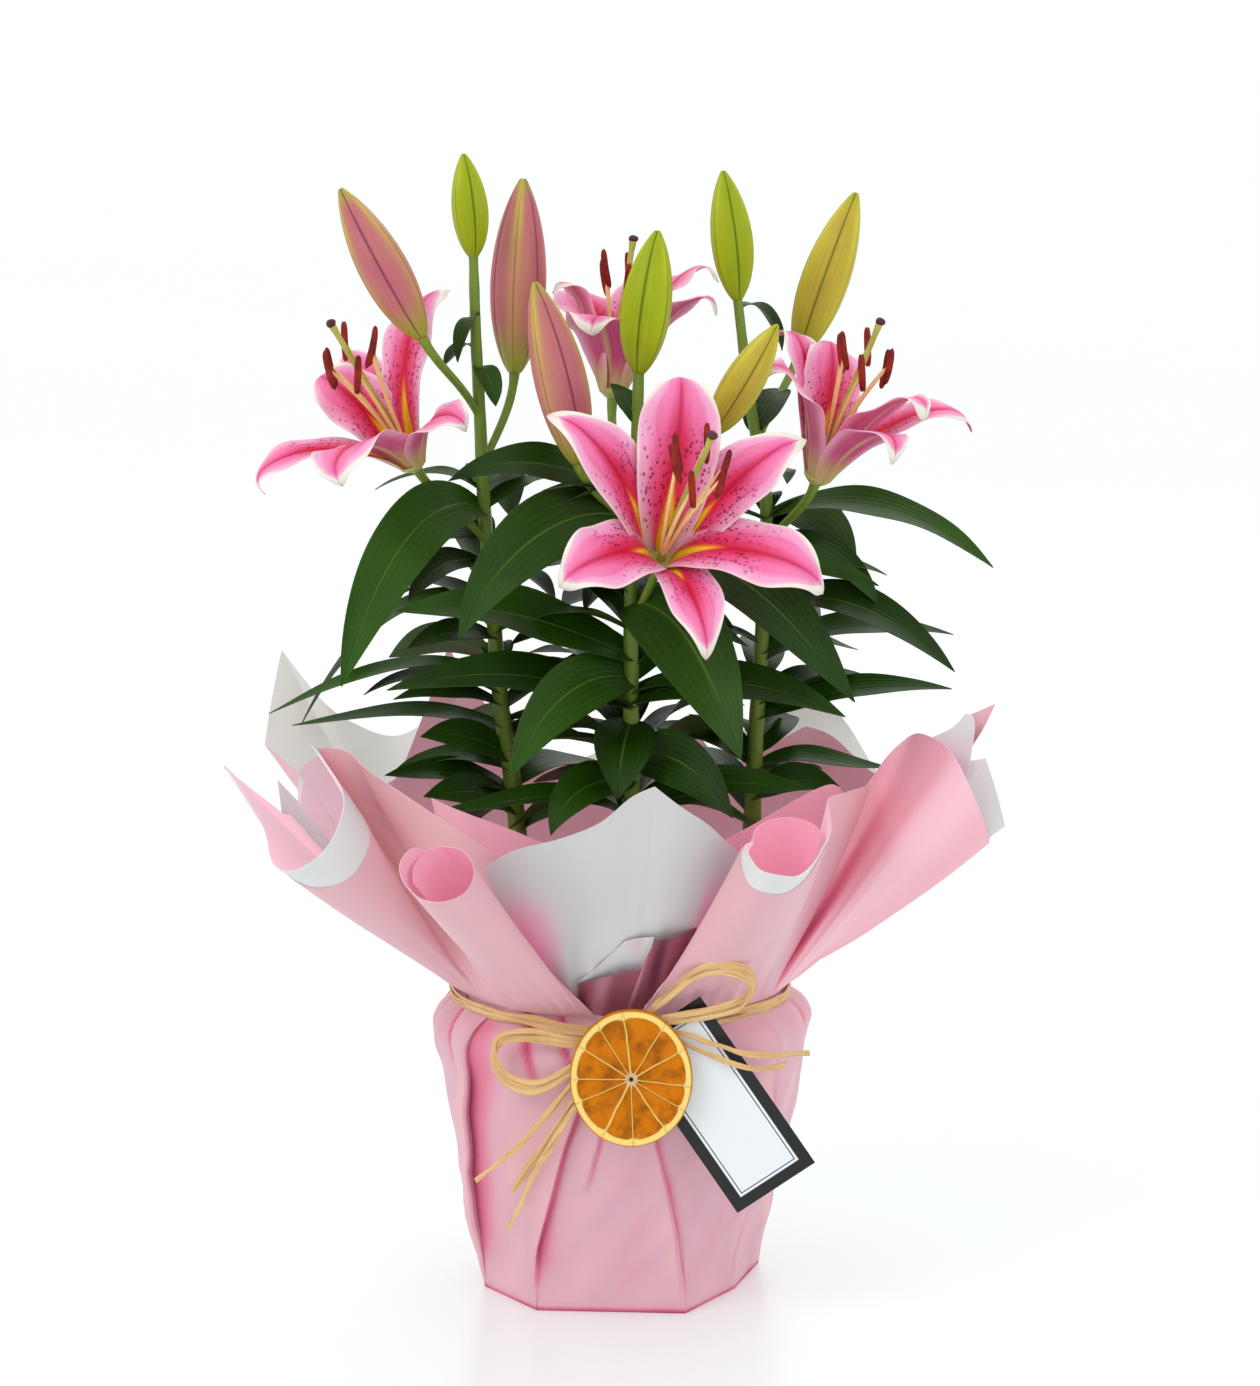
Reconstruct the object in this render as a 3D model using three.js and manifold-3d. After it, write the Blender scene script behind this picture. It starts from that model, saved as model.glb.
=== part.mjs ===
// A potted lily: three leafy stems with four open flowers and eight buds, in a plastic pot that stands
// in two sheets of two-coloured paper. Raffia ties the paper, and holds an orange slice and a card.
// Millimetres, +Z up. The front of the wrap faces -Y, and the origin is under the middle of the base.
import * as THREE from "three";
import Module from "manifold-3d";
import { mergeVertices } from "three/addons/utils/BufferGeometryUtils.js";

const wasm = await Module();
wasm.setup();

// Driving dimensions of the whole object.
const GAP = 0.3;
const PAPER = 1.2;
const LEAF_RIB = 1.4;
const TEPAL_RIB = 1.8;
const SOIL = { top: 138, heap: 1, heapRadius: 52, slump: 2 };
const STEM_FOOT = 104;
const FULL_TURN = 360;

// Nursery pot.
const POT = { foot: 1.5, footRadius: 58, rim: 150, rimRadius: 95, lip: 2.5, lipHeight: 9 };
const POT_WALL = { side: 1.6, floor: 1.8 };
const DRAIN_HOLE = { count: 4, radius: 4, ring: 36, sides: 8 };

// Paper cup round the pot: radius at each height, from the base edge to where the collar starts.
const CUP_PROFILE = [
  [0, 79], [48, 88.6], [104, 98], [146, 101.5], [155, 97], [162, 87.6], [170, 90],
];
const CUP_ROUND_HEIGHT = 120;
// Corners of the folded base: azimuth and radius.
const BASE_CORNERS = [
  [16, 80], [60, 80], [105, 80], [150, 79], [197, 77.5], [236, 80], [296, 80], [336, 68],
];
// Knife pleats of the cup: azimuth at the neck and at the base.
const PLEATS = [
  [8, 16], [70, 60], [97, 105], [168, 150], [214, 197], [258, 236], [278, 296], [330, 335],
];
const PLEAT = { height: 2.6, width: 1.6, spacing: 22, rise: 0.4, baseFade: 40, topFade: [150, 162] };
const COLLAR_FOOT = { outer: [89.9, 169], inner: [88.2, 171.8] };
// The inner sheet is tucked in between the rim of the pot and the outer sheet.
const TUCK = { heights: [146, 155, 162, 172.6], inset: 2.2 };

// Raffia ring, orange slice and card.
const RAFFIA = { ringRadius: 92, ringHeight: 163.4, band: 3, tall: 5.6, loop: 1.6 };
// The band leaves the neck and dips towards the knot, from this cosine of the angle off it.
const RAFFIA_FRONT = { from: 0.84, forward: 6.2, drop: 1.6 };
const RAFFIA_SECTION = [[-0.2, -0.5], [0.5, -0.3], [0.4, 0.5], [-0.5, 0.4]];
const KNOT = { azimuth: 270, centre: [6, -102, 163], size: [9, 7, 6], sides: [7, 4] };
const ORANGE = { centre: [6, -117.5, 142], halfWidth: 32, halfHeight: 37, thickness: 5, bevel: 1.2 };
const CARD = {
  corner: [42, -109.4, 184],
  along: [0.561, -0.007, -0.828],
  width: 49,
  length: 108,
  thickness: 0.8,
};

const vec = (x, y, z) => new THREE.Vector3(x, y, z);
const rad = THREE.MathUtils.degToRad;
const mix = THREE.MathUtils.lerp;
const smooth = (x) => THREE.MathUtils.smoothstep(x, 0, 1);
const onCircle = (azimuth, radius, z) => vec(radius, 0, z).applyAxisAngle(vec(0, 0, 1), rad(azimuth));
const heading = (azimuth, climb) => onCircle(azimuth, Math.cos(rad(climb)), Math.sin(rad(climb)));

// A value read off a list of [key, value] pairs by straight lines.
function between(list, key) {
  const next = list.findIndex(([k]) => k >= key);
  if (next === 0) return list[0][1];
  if (next < 0) return list[list.length - 1][1];
  const [k0, v0] = list[next - 1];
  const [k1, v1] = list[next];
  return mix(v0, v1, (key - k0) / (k1 - k0));
}

// A swelling outline that is zero at both ends and 1 at `peak`.
function swell(u, peak, power) {
  return (u / peak) ** ((power * peak) / (1 - peak)) * ((1 - u) / (1 - peak)) ** power;
}

function geometryOf(points, faces) {
  const geometry = new THREE.BufferGeometry();
  geometry.setAttribute("position", new THREE.Float32BufferAttribute(points.flatMap((p) => p.toArray()), 3));
  geometry.setIndex(faces.flat());
  return geometry;
}

function signedVolume(points, faces) {
  return faces.reduce((sum, [a, b, c]) => sum + points[a].dot(points[b].clone().cross(points[c])), 0);
}

function outward(points, faces) {
  return geometryOf(points, signedVolume(points, faces) < 0 ? faces.map(([a, b, c]) => [a, c, b]) : faces);
}

const secondHalf = (row, k, count) => k >= count / 2;

// A closed skin over rings of points. A ring of one point is a pole. The faces for which `mirrored` holds
// are split along the other diagonal, so that the two sides of a thin blade stay alike.
function loft(rings, mirrored = secondHalf) {
  const points = rings.flat();
  const starts = rings.map((_, i) => rings.slice(0, i).flat().length);
  const faces = [];
  for (let r = 0; r + 1 < rings.length; r++) {
    const [a, b] = [rings[r].length, rings[r + 1].length];
    const n = Math.max(a, b);
    for (let k = 0; k < n; k++) {
      const j = (k + 1) % n;
      const [p, q] = a > 1 ? [starts[r] + k, starts[r] + j] : [starts[r], starts[r]];
      const [s, t] = b > 1 ? [starts[r + 1] + k, starts[r + 1] + j] : [starts[r + 1], starts[r + 1]];
      if (a === 1) faces.push([p, t, s]);
      else if (b === 1) faces.push([p, q, s]);
      else if (mirrored(r, k, n)) faces.push([p, q, s], [q, t, s]);
      else faces.push([p, q, t], [p, t, s]);
    }
  }
  const cap = (at, n, flip) => {
    const half = n / 2;
    const put = (x, y, z) => faces.push(flip ? [at + x, at + z, at + y] : [at + x, at + y, at + z]);
    put(0, n - 1, 1);
    for (let k = 1; k + 1 < half; k++) {
      put(k, n - k, k + 1);
      put(k + 1, n - k, n - k - 1);
    }
    put(half - 1, half + 1, half);
  };
  const last = rings.length - 1;
  if (rings[0].length > 1) cap(starts[0], rings[0].length, false);
  if (rings[last].length > 1) cap(starts[last], rings[last].length, true);
  return outward(points, faces);
}

// A closed thin blade on a grid of middle points, rows first.
function blade(grid, thickness) {
  const [rows, columns] = [grid.length, grid[0].length];
  const { clamp } = THREE.MathUtils;
  const step = (r, c) => grid[clamp(r, 0, rows - 1)][clamp(c, 0, columns - 1)];
  const points = [];
  for (const side of [0.5, -0.5]) {
    for (let r = 0; r < rows; r++) {
      for (let c = 0; c < columns; c++) {
        const across = step(r, c + 1).clone().sub(step(r, c - 1));
        const along = step(r + 1, c).clone().sub(step(r - 1, c));
        points.push(grid[r][c].clone().addScaledVector(across.cross(along).normalize(), side * thickness));
      }
    }
  }
  const back = rows * columns;
  const at = (r, c) => r * columns + c;
  const faces = [];
  const wall = (a, b) => faces.push([a, b, back + a], [b, back + b, back + a]);
  for (let r = 0; r + 1 < rows; r++) {
    for (let c = 0; c + 1 < columns; c++) {
      const [p, q, s, t] = [at(r, c), at(r, c + 1), at(r + 1, c), at(r + 1, c + 1)];
      faces.push([p, q, t], [p, t, s], [back + p, back + t, back + q], [back + p, back + s, back + t]);
    }
    wall(at(r, 0), at(r + 1, 0));
    wall(at(r + 1, columns - 1), at(r, columns - 1));
  }
  for (let c = 0; c + 1 < columns; c++) {
    wall(at(0, c + 1), at(0, c));
    wall(at(rows - 1, c), at(rows - 1, c + 1));
  }
  return outward(points, faces);
}

// A round rod along a smooth curve through the given points, with a radius at each end.
function rod(points, [startRadius, endRadius], sides, steps) {
  const curve = new THREE.CatmullRomCurve3(points);
  const frames = curve.computeFrenetFrames(steps, false);
  const rings = [];
  for (let i = 0; i <= steps; i++) {
    const centre = curve.getPointAt(i / steps);
    const radius = mix(startRadius, endRadius, i / steps);
    rings.push(
      Array.from({ length: sides }, (_, k) => {
        const turn = rad((FULL_TURN * k) / sides);
        return centre
          .clone()
          .addScaledVector(frames.normals[i], radius * Math.cos(turn))
          .addScaledVector(frames.binormals[i], radius * Math.sin(turn));
      }),
    );
  }
  return loft(rings);
}

function solidOf(geometry) {
  const bare = geometry.clone();
  bare.deleteAttribute("normal");
  bare.deleteAttribute("uv");
  const merged = mergeVertices(bare, 1e-4);
  return new wasm.Manifold(
    new wasm.Mesh({
      numProp: 3,
      vertProperties: merged.attributes.position.array,
      triVerts: new Uint32Array(merged.index.array),
    }),
  );
}

const bulkier = (a, b) => (b.volume() > a.volume() ? b : a);
const largest = (solid) => solid.decompose().reduce(bulkier);

// Closed meshes joined into one body. A pocket that the joining seals is filled.
const join = (geometries) => largest(geometries.map(solidOf).reduce((sum, solid) => sum.add(solid)));

function geometryFrom(solid) {
  const mesh = solid.getMesh();
  const geometry = new THREE.BufferGeometry();
  geometry.setAttribute("position", new THREE.Float32BufferAttribute(mesh.vertProperties, 3));
  geometry.setIndex([...mesh.triVerts]);
  return geometry;
}

const material = (color, roughness) => new THREE.MeshStandardMaterial({ color, roughness, metalness: 0 });
const FINISH = {
  paperPink: material(0xe2a3b8, 0.6),
  paperWhite: material(0xe9e8e6, 0.6),
  plastic: material(0x2b2b2b, 0.5),
  soil: material(0x3a2a1e, 0.95),
  raffia: material(0xe2b36b, 0.7),
  orange: material(0xd98010, 0.6),
  card: material(0xdfe3e8, 0.5),
  leaf: material(0x2f5a1b, 0.4),
  tepal: material(0xf07ba5, 0.5),
  stamen: material(0x7c1e10, 0.7),
  greenBud: material(0xa6c417, 0.45),
  pinkBud: material(0xb9788a, 0.5),
};

const lily = new THREE.Group();

function addMesh(name, shape, finish) {
  const geometry = shape.isBufferGeometry ? shape : geometryFrom(shape);
  const mesh = new THREE.Mesh(geometry, finish);
  mesh.name = name;
  lily.add(mesh);
}

// The pot and the soil in it.
const POT_SIDES = 20;
const potRadius = (z) => mix(POT.footRadius, POT.rimRadius - POT.lip, (z - POT.foot) / (POT.rim - POT.foot));

// A round solid from its outline, given as radius and height.
function lathe(outline) {
  const points = outline.map(([r, z]) => new THREE.Vector2(r, z));
  return new THREE.LatheGeometry(points, POT_SIDES).rotateX(rad(90));
}

function nurseryPot() {
  const { foot, rim, rimRadius, lip, lipHeight } = POT;
  const { side: wall, floor } = POT_WALL;
  const shell = lathe([
    [0, foot],
    [potRadius(foot), foot],
    [potRadius(rim - lipHeight), rim - lipHeight],
    [rimRadius, rim - lipHeight + lip],
    [rimRadius, rim],
    [potRadius(rim) - wall, rim],
    [potRadius(foot + floor) - wall, foot + floor],
    [0, foot + floor],
  ]);
  let pot = solidOf(shell);
  const { count, radius, ring: holeRing, sides } = DRAIN_HOLE;
  for (let k = 0; k < count; k++) {
    const centre = onCircle((FULL_TURN * k) / count, holeRing, 0);
    const hole = new THREE.CylinderGeometry(radius, radius, 3 * floor, sides)
      .rotateX(rad(90))
      .translate(centre.x, centre.y, foot + floor / 2);
    pot = pot.subtract(solidOf(hole));
  }
  return pot;
}

// Stems: the foot in the soil, then points up to the top bud.
const STEMS = {
  left: {
    path: [[-50, 14, STEM_FOOT], [-56, 15, 247], [-65, 15, 319], [-69, 12, 375], [-73, 10, 424],
      [-75, 8, 473], [-77, 6, 521], [-78, 6, 559.5]],
    radii: [5.2, 2.6],
  },
  centre: {
    path: [[4, -28, STEM_FOOT], [6, -32, 251], [6, -34, 328], [6, -34, 382], [8, -32, 435],
      [10, -30, 501.5]],
    radii: [5.2, 3],
  },
  right: {
    path: [[66, 20, STEM_FOOT], [72, 22, 246], [74, 24, 295], [78, 26, 372], [79, 26, 427], [70, 24, 482],
      [63, 22, 535.5]],
    radii: [5.2, 2.6],
  },
};
const STEM_SIDES = 6;

// The middle of a stem at a height, by straight lines between its points.
function onStem(stem, z) {
  const x = between(STEMS[stem].path.map((p) => [p[2], p[0]]), z);
  const y = between(STEMS[stem].path.map((p) => [p[2], p[1]]), z);
  return vec(x, y, z);
}

function stemRod(stem, extra) {
  const { path, radii } = STEMS[stem];
  return rod(path.map((p) => vec(...p)), radii.map((r) => r + extra), STEM_SIDES, path.length);
}

function pottingSoil() {
  const bottom = POT.foot + POT_WALL.floor + GAP;
  const inside = (z) => potRadius(z) - POT_WALL.side - GAP;
  const side = SOIL.top - SOIL.slump;
  const outline = [
    [0, bottom],
    [inside(bottom), bottom],
    [inside(side), side],
    [SOIL.heapRadius, SOIL.top + SOIL.heap],
    [0, SOIL.top],
  ];
  const body = lathe(outline);
  const holes = Object.keys(STEMS).map((stem) => solidOf(stemRod(stem, GAP)));
  return holes.reduce((soil, hole) => soil.subtract(hole), solidOf(body));
}

// Leaves: height of the root on the stem, tip, width, climb at the root and at the tip, roll.
const LEAVES = {
  left: [
    [423, [-145, -85, 344], 34, 28, -68, -44],
    [390, [-95, 42, 414], 34, 30, 10, 80],
    [393, [-112, -40, 382], 22, 25, -45, -21],
    [369, [-174, 20, 304], 26, 30, -62, -12],
    [354, [-113, -30, 355], 20, 20, -15, -29],
    [331, [-189, -10, 316], 22, 24, -22, -9],
    [317, [-121, -28, 327], 20, 22, -6, -24],
    [304, [-178, 10, 306], 24, 18, -6, -9],
    [288, [-106, -40, 309], 22, 30, 2, -58],
    [268, [-126, -24, 285], 24, 30, 0, -23],
    [258, [-104, -52, 279], 24, 34, 4, -52],
    [340, [-128, 66, 334], 26, 30, -25, 48],
    [360, [-70, 92, 350], 26, 35, -30, 0],
    [325, [-52, 96, 318], 24, 32, -28, 20],
    [286, [-84, 88, 300], 24, 34, -8, -30],
    [410, [-128, 42, 380], 28, 32, -50, -38],
    [438, [-60, 78, 410], 30, 30, -52, 0],
    [501, [-66, -8, 482], 15, 10, -68, 0],
    [511, [-95, 26, 500], 13, 40, -45, 0],
    [527, [-86, -14, 506], 12, 40, -80, 20],
  ],
  centre: [
    [424, [-83, -100, 372], 37, 22, -62, -52],
    [403, [122, -98, 338], 38, 20, -48, 39],
    [380, [62, -140, 316], 44, 10, -52, 37],
    [352, [-116, -88, 384], 38, 24, -4, -38],
    [339, [-56, -110, 301], 31, 18, -58, -55],
    [316, [-1, -84, 284], 33, -12, -70, -8],
    [286, [-36, -90, 266], 27, 4, -64, -34],
    [400, [136, -58, 393], 28, 20, -22, 43],
    [328, [118, -80, 327], 30, 22, -22, 34],
    [295, [59, -94, 276], 29, 26, -44, 61],
    [325, [-122, -74, 340], 32, 24, -12, -32],
    [437, [-89, -70, 450], 26, 26, -24, -38],
    [438, [-40, -62, 444], 12, 30, -5, 0],
    [475, [-5, -8, 494], 14, 50, 10, 0],
    [262, [-98, -70, 274], 24, 38, 0, -11],
    [268, [105, -50, 283], 24, 36, 0, 28],
    [372, [0, 62, 366], 30, 34, -38, -20],
    [340, [34, 60, 330], 26, 34, -32, 30],
    [310, [-20, 66, 312], 26, 34, -22, -30],
    [415, [-14, 42, 410], 26, 38, -36, -30],
  ],
  right: [
    [418, [199, -20, 397], 27, 22, -38, 21],
    [415, [130, 62, 388], 30, 28, -50, -30],
    [421, [83, 66, 426], 16, 40, 0, 0],
    [366, [179, -22, 341], 30, 30, -40, 22],
    [344, [182, 34, 352], 26, 22, -12, 20],
    [308, [180, 10, 326], 26, 22, -4, 22],
    [264, [117, -34, 281], 22, 34, 0, 48],
    [279, [148, 24, 280], 22, 30, 0, 11],
    [283, [38, 44, 306], 20, 48, 18, 0],
    [289, [99, 66, 300], 22, 40, -10, 22],
    [330, [80, 100, 330], 26, 34, -25, 20],
    [360, [112, 96, 352], 28, 34, -35, 40],
    [392, [70, 94, 376], 28, 34, -48, 0],
    [312, [138, 72, 322], 24, 30, -14, 16],
    [400, [140, 4, 372], 26, 26, -56, 20],
    [440, [92, 72, 430], 24, 40, -45, 30],
    [465, [92, 56, 484], 24, 48, 0, 0],
    [531, [88, 48, 506], 12, 30, -84, 0],
  ],
};
const LEAF = { steps: 4, root: 0.04, peak: 0.42, power: 0.95, channel: 0.24, hold: 0.38 };

// One leaf: an arched rib with a shallow channel to either side, pointed at the tip.
function leaf(stem, [rootHeight, tipPoint, width, startClimb, endClimb, roll]) {
  const root = onStem(stem, rootHeight);
  const tip = vec(...tipPoint);
  const reach = tip.clone().sub(root);
  const azimuth = THREE.MathUtils.radToDeg(Math.atan2(reach.y, reach.x));
  const hold = LEAF.hold * reach.length();
  const rib = new THREE.CubicBezierCurve3(
    root,
    root.clone().addScaledVector(heading(azimuth, startClimb), hold),
    tip.clone().addScaledVector(heading(azimuth, endClimb), -hold),
    tip,
  );
  const rings = [];
  for (let i = 0; i < LEAF.steps; i++) {
    const u = i / LEAF.steps;
    const tangent = rib.getTangent(u);
    const side = heading(azimuth + 90, 0).applyAxisAngle(tangent, rad(roll));
    const up = tangent.clone().cross(side);
    const half = (width / 2) * swell(mix(LEAF.root, 1, u), LEAF.peak, LEAF.power);
    const edge = (sign) =>
      rib.getPoint(u).addScaledVector(side, sign * half).addScaledVector(up, LEAF.channel * half);
    const middle = (sign) => rib.getPoint(u).addScaledVector(up, (sign * LEAF_RIB) / 2);
    rings.push([edge(-1), middle(1), edge(1), middle(-1)]);
  }
  rings.push([tip]);
  return loft(rings);
}

// Buds: foot, tip, width, and where the pedicel leaves which stem.
const BUDS = {
  bud_a: { foot: [-104, -31, 521], tip: [-145, -48, 600], width: 27, stem: "left", from: 474, pink: true },
  bud_b: { foot: [-78, 6, 560], tip: [-83, 6, 615], width: 19, stem: "left", pink: false },
  bud_c: { foot: [-57, 30, 496], tip: [-52, 35, 600], width: 30, stem: "left", from: 448, pink: true },
  bud_d: { foot: [-22, -52, 457], tip: [-44, -67, 553], width: 30, stem: "centre", from: 418, pink: true },
  bud_e: { foot: [10, -30, 502], tip: [20, -30, 577], width: 27, stem: "centre", pink: false },
  bud_f: { foot: [43, -38, 478], tip: [82, -56, 530], width: 23, stem: "centre", from: 440, pink: false },
  bud_g: { foot: [63, 22, 536], tip: [55, 22, 605], width: 23, stem: "right", pink: false },
  bud_h: { foot: [98, 64, 503], tip: [127, 56, 587], width: 27, stem: "right", from: 458, pink: false },
};
const BUD = { sides: 8, steps: 5, foot: 0.03, tip: 0.98, peak: 0.42, power: 0.75, lobe: 0.06 };
const PEDICEL = { radii: [2.1, 2.5], sides: 6, steps: 4, seat: 0.5 };
const PEDICEL_BEND = { leave: [0.6, 0.8], rise: 0.42, nod: 0.34 };

// A closed bud: slender, three-lobed, widest a little below the middle.
function bud({ foot, tip, width }) {
  const base = vec(...foot);
  const axis = vec(...tip).sub(base);
  const along = axis.clone().normalize();
  const side = vec(0, 0, 1).cross(along).normalize();
  if (side.lengthSq() < 0.5) side.set(1, 0, 0);
  const out = along.clone().cross(side);
  const rings = [];
  for (let i = 0; i <= BUD.steps; i++) {
    const u = i / BUD.steps;
    const radius = (width / 2) * swell(mix(BUD.foot, BUD.tip, u), BUD.peak, BUD.power);
    rings.push(
      Array.from({ length: BUD.sides }, (_, k) => {
        const turn = rad((FULL_TURN * k) / BUD.sides);
        const r = radius * (1 + BUD.lobe * Math.cos(3 * turn));
        return base
          .clone()
          .addScaledVector(axis, u)
          .addScaledVector(side, r * Math.cos(turn))
          .addScaledVector(out, r * Math.sin(turn));
      }),
    );
  }
  return loft(rings);
}

// A stalk from a stem to the foot of a bud or a flower, which it meets end to end with a small gap.
function pedicel(stem, from, foot, along) {
  const start = onStem(stem, from);
  const end = foot.clone().addScaledVector(along, -PEDICEL.seat);
  const reach = end.distanceTo(start);
  const [outwards, upwards] = PEDICEL_BEND.leave;
  const leave = end.clone().sub(start).setZ(0).normalize().multiplyScalar(outwards).setZ(upwards);
  const curve = new THREE.CubicBezierCurve3(
    start,
    start.clone().addScaledVector(leave, PEDICEL_BEND.rise * reach),
    end.clone().addScaledVector(along, -PEDICEL_BEND.nod * reach),
    end,
  );
  return rod(curve.getPoints(2 * PEDICEL.steps), PEDICEL.radii, PEDICEL.sides, PEDICEL.steps);
}

// Open flowers: foot, way it faces, and six tepals in turn. Each tepal has its tip, width, how far
// the tip rolls back in degrees, and whether it is one of the three broad inner petals.
const FLOWERS = {
  left: {
    foot: [-109, -15, 451],
    axis: [-0.43, -0.36, 0.83],
    stem: "left",
    from: 405,
    stigma: [-150, -55, 530],
    tepals: [
      { tip: [-92, 26, 540], width: 42, back: 20, petal: true },
      { tip: [-149, 28, 510], width: 27, back: 15, petal: false },
      { tip: [-166, -2, 498], width: 42, back: 15, petal: true },
      { tip: [-193, -38, 437], width: 28, back: 75, petal: false },
      { tip: [-146, -90, 448], width: 40, back: 70, petal: true },
      { tip: [-76, -74, 477], width: 28, back: 80, petal: false },
    ],
  },
  front: {
    foot: [21, -62, 406],
    axis: [0.16, -0.76, 0.63],
    stem: "centre",
    from: 366,
    stigma: [47, -126, 480],
    tepals: [
      { tip: [19, -74, 503], width: 42, back: 5, petal: true },
      { tip: [95, -74, 473], width: 30, back: 15, petal: false },
      { tip: [104, -112, 397], width: 44, back: 40, petal: true },
      { tip: [44, -134, 368], width: 29, back: 45, petal: false },
      { tip: [-29, -124, 402], width: 42, back: 40, petal: true },
      { tip: [-38, -90, 487], width: 30, back: 20, petal: false },
    ],
  },
  right: {
    foot: [105, -5, 442],
    axis: [0.3, -0.2, 0.93],
    stem: "right",
    from: 400,
    stigma: [137, -25, 528],
    tepals: [
      { tip: [110, 34, 512], width: 40, back: 15, petal: true },
      { tip: [193, 8, 470], width: 28, back: 35, petal: false },
      { tip: [165, -50, 484], width: 42, back: 45, petal: true },
      { tip: [144, -80, 460], width: 28, back: 65, petal: false },
      { tip: [72, -34, 507], width: 40, back: 30, petal: true },
      { tip: [84, 26, 522], width: 26, back: 25, petal: false },
    ],
  },
  back: {
    foot: [-4, 40, 483],
    axis: [0.08, 0.06, 0.995],
    stem: "centre",
    from: 425,
    stigma: [7, 46, 566],
    tepals: [
      { tip: [-38, 26, 545], width: 28, back: 25, petal: false },
      { tip: [-16, -14, 524], width: 40, back: 60, petal: true },
      { tip: [56, 12, 532], width: 27, back: 50, petal: false },
      { tip: [58, 52, 548], width: 42, back: 35, petal: true },
      { tip: [18, 112, 534], width: 28, back: 40, petal: false },
      { tip: [-32, 98, 532], width: 42, back: 30, petal: true },
    ],
  },
};
const TEPAL_STEPS = 6;
const THROAT = { root: 0.05, hold: 0.42, tipHold: 0.33 };
const RECEPTACLE = { below: 2, above: 3.5, foot: 3.6, top: 8, sides: 6 };
// Tepals: where the root stands, how it opens in degrees, its outline, and how it cups and rolls back.
const PETAL = { root: 5, open: 10, peak: 0.56, power: 0.8, cup: 0.3, roll: 0.2 };
const SEPAL = { root: 7, open: 19, peak: 0.52, power: 0.9, cup: 0.26, roll: 0.1 };

// One tepal: it leaves the throat close to the axis, opens out and rolls back at the tip.
function tepal(foot, axis, { tip, width, back, petal }) {
  const end = vec(...tip);
  const reach = end.clone().sub(foot);
  const radial = reach.clone().addScaledVector(axis, -reach.dot(axis)).normalize();
  const length = reach.length();
  const lean = (degrees) =>
    axis.clone().multiplyScalar(Math.cos(rad(degrees))).addScaledVector(radial, Math.sin(rad(degrees)));
  const shape = petal ? PETAL : SEPAL;
  const start = foot.clone().addScaledVector(radial, shape.root).addScaledVector(axis, 1);
  const rib = new THREE.CubicBezierCurve3(
    start,
    start.clone().addScaledVector(lean(shape.open), THROAT.hold * length),
    end.clone().addScaledVector(lean(90 + back), -THROAT.tipHold * length),
    end,
  );
  const across = axis.clone().cross(radial);
  const rings = [];
  for (let i = 0; i < TEPAL_STEPS; i++) {
    const u = i / TEPAL_STEPS;
    const inner = rib.getTangent(u).cross(across);
    const half = (width / 2) * swell(mix(THROAT.root, 1, u), shape.peak, shape.power);
    const lift = half * (shape.cup * (1 - u) - shape.roll * u * u);
    const place = (v, rise) =>
      rib.getPoint(u).addScaledVector(across, v * half).addScaledVector(inner, lift * v * v + rise);
    rings.push([place(-1, 0), place(0, TEPAL_RIB / 2), place(1, 0), place(0, -TEPAL_RIB / 2)]);
  }
  rings.push([end]);
  return loft(rings);
}

function bloom({ foot, axis, tepals }) {
  const base = vec(...foot);
  const way = vec(...axis).normalize();
  const cup = [
    [-RECEPTACLE.below, RECEPTACLE.foot],
    [RECEPTACLE.above, RECEPTACLE.top],
  ].map(([along, radius]) => ring(base, way, along, radius, RECEPTACLE.sides));
  return join([loft(cup), ...tepals.map((t) => tepal(base, way, t))]);
}

function ring(base, way, along, radius, sides) {
  const side = vec(0, 1, 0).cross(way).normalize();
  const out = way.clone().cross(side);
  return Array.from({ length: sides }, (_, k) => {
    const turn = rad((FULL_TURN * k) / sides);
    return base
      .clone()
      .addScaledVector(way, along)
      .addScaledVector(side, radius * Math.cos(turn))
      .addScaledVector(out, radius * Math.sin(turn));
  });
}

const STAMEN = {
  count: 6,
  lengths: [0.74, 0.8],
  spread: 15,
  filament: [0.9, 0.72],
  foot: 9.2,
  bend: 0.35,
  bulge: 3.5,
  anther: 16,
  antherRadius: 2.2,
  lean: 0.35,
};
const PISTIL = { seat: 4.2, ovary: [2.6, 2.2], ovaryTop: 16, lap: 2, bend: 0.3, style: [1.5, 1.2] };
const STIGMA = { below: 1.5, radius: 3.2, shoulder: 2.2, shoulderRadius: 2.6, above: 3, sides: 5 };

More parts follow.
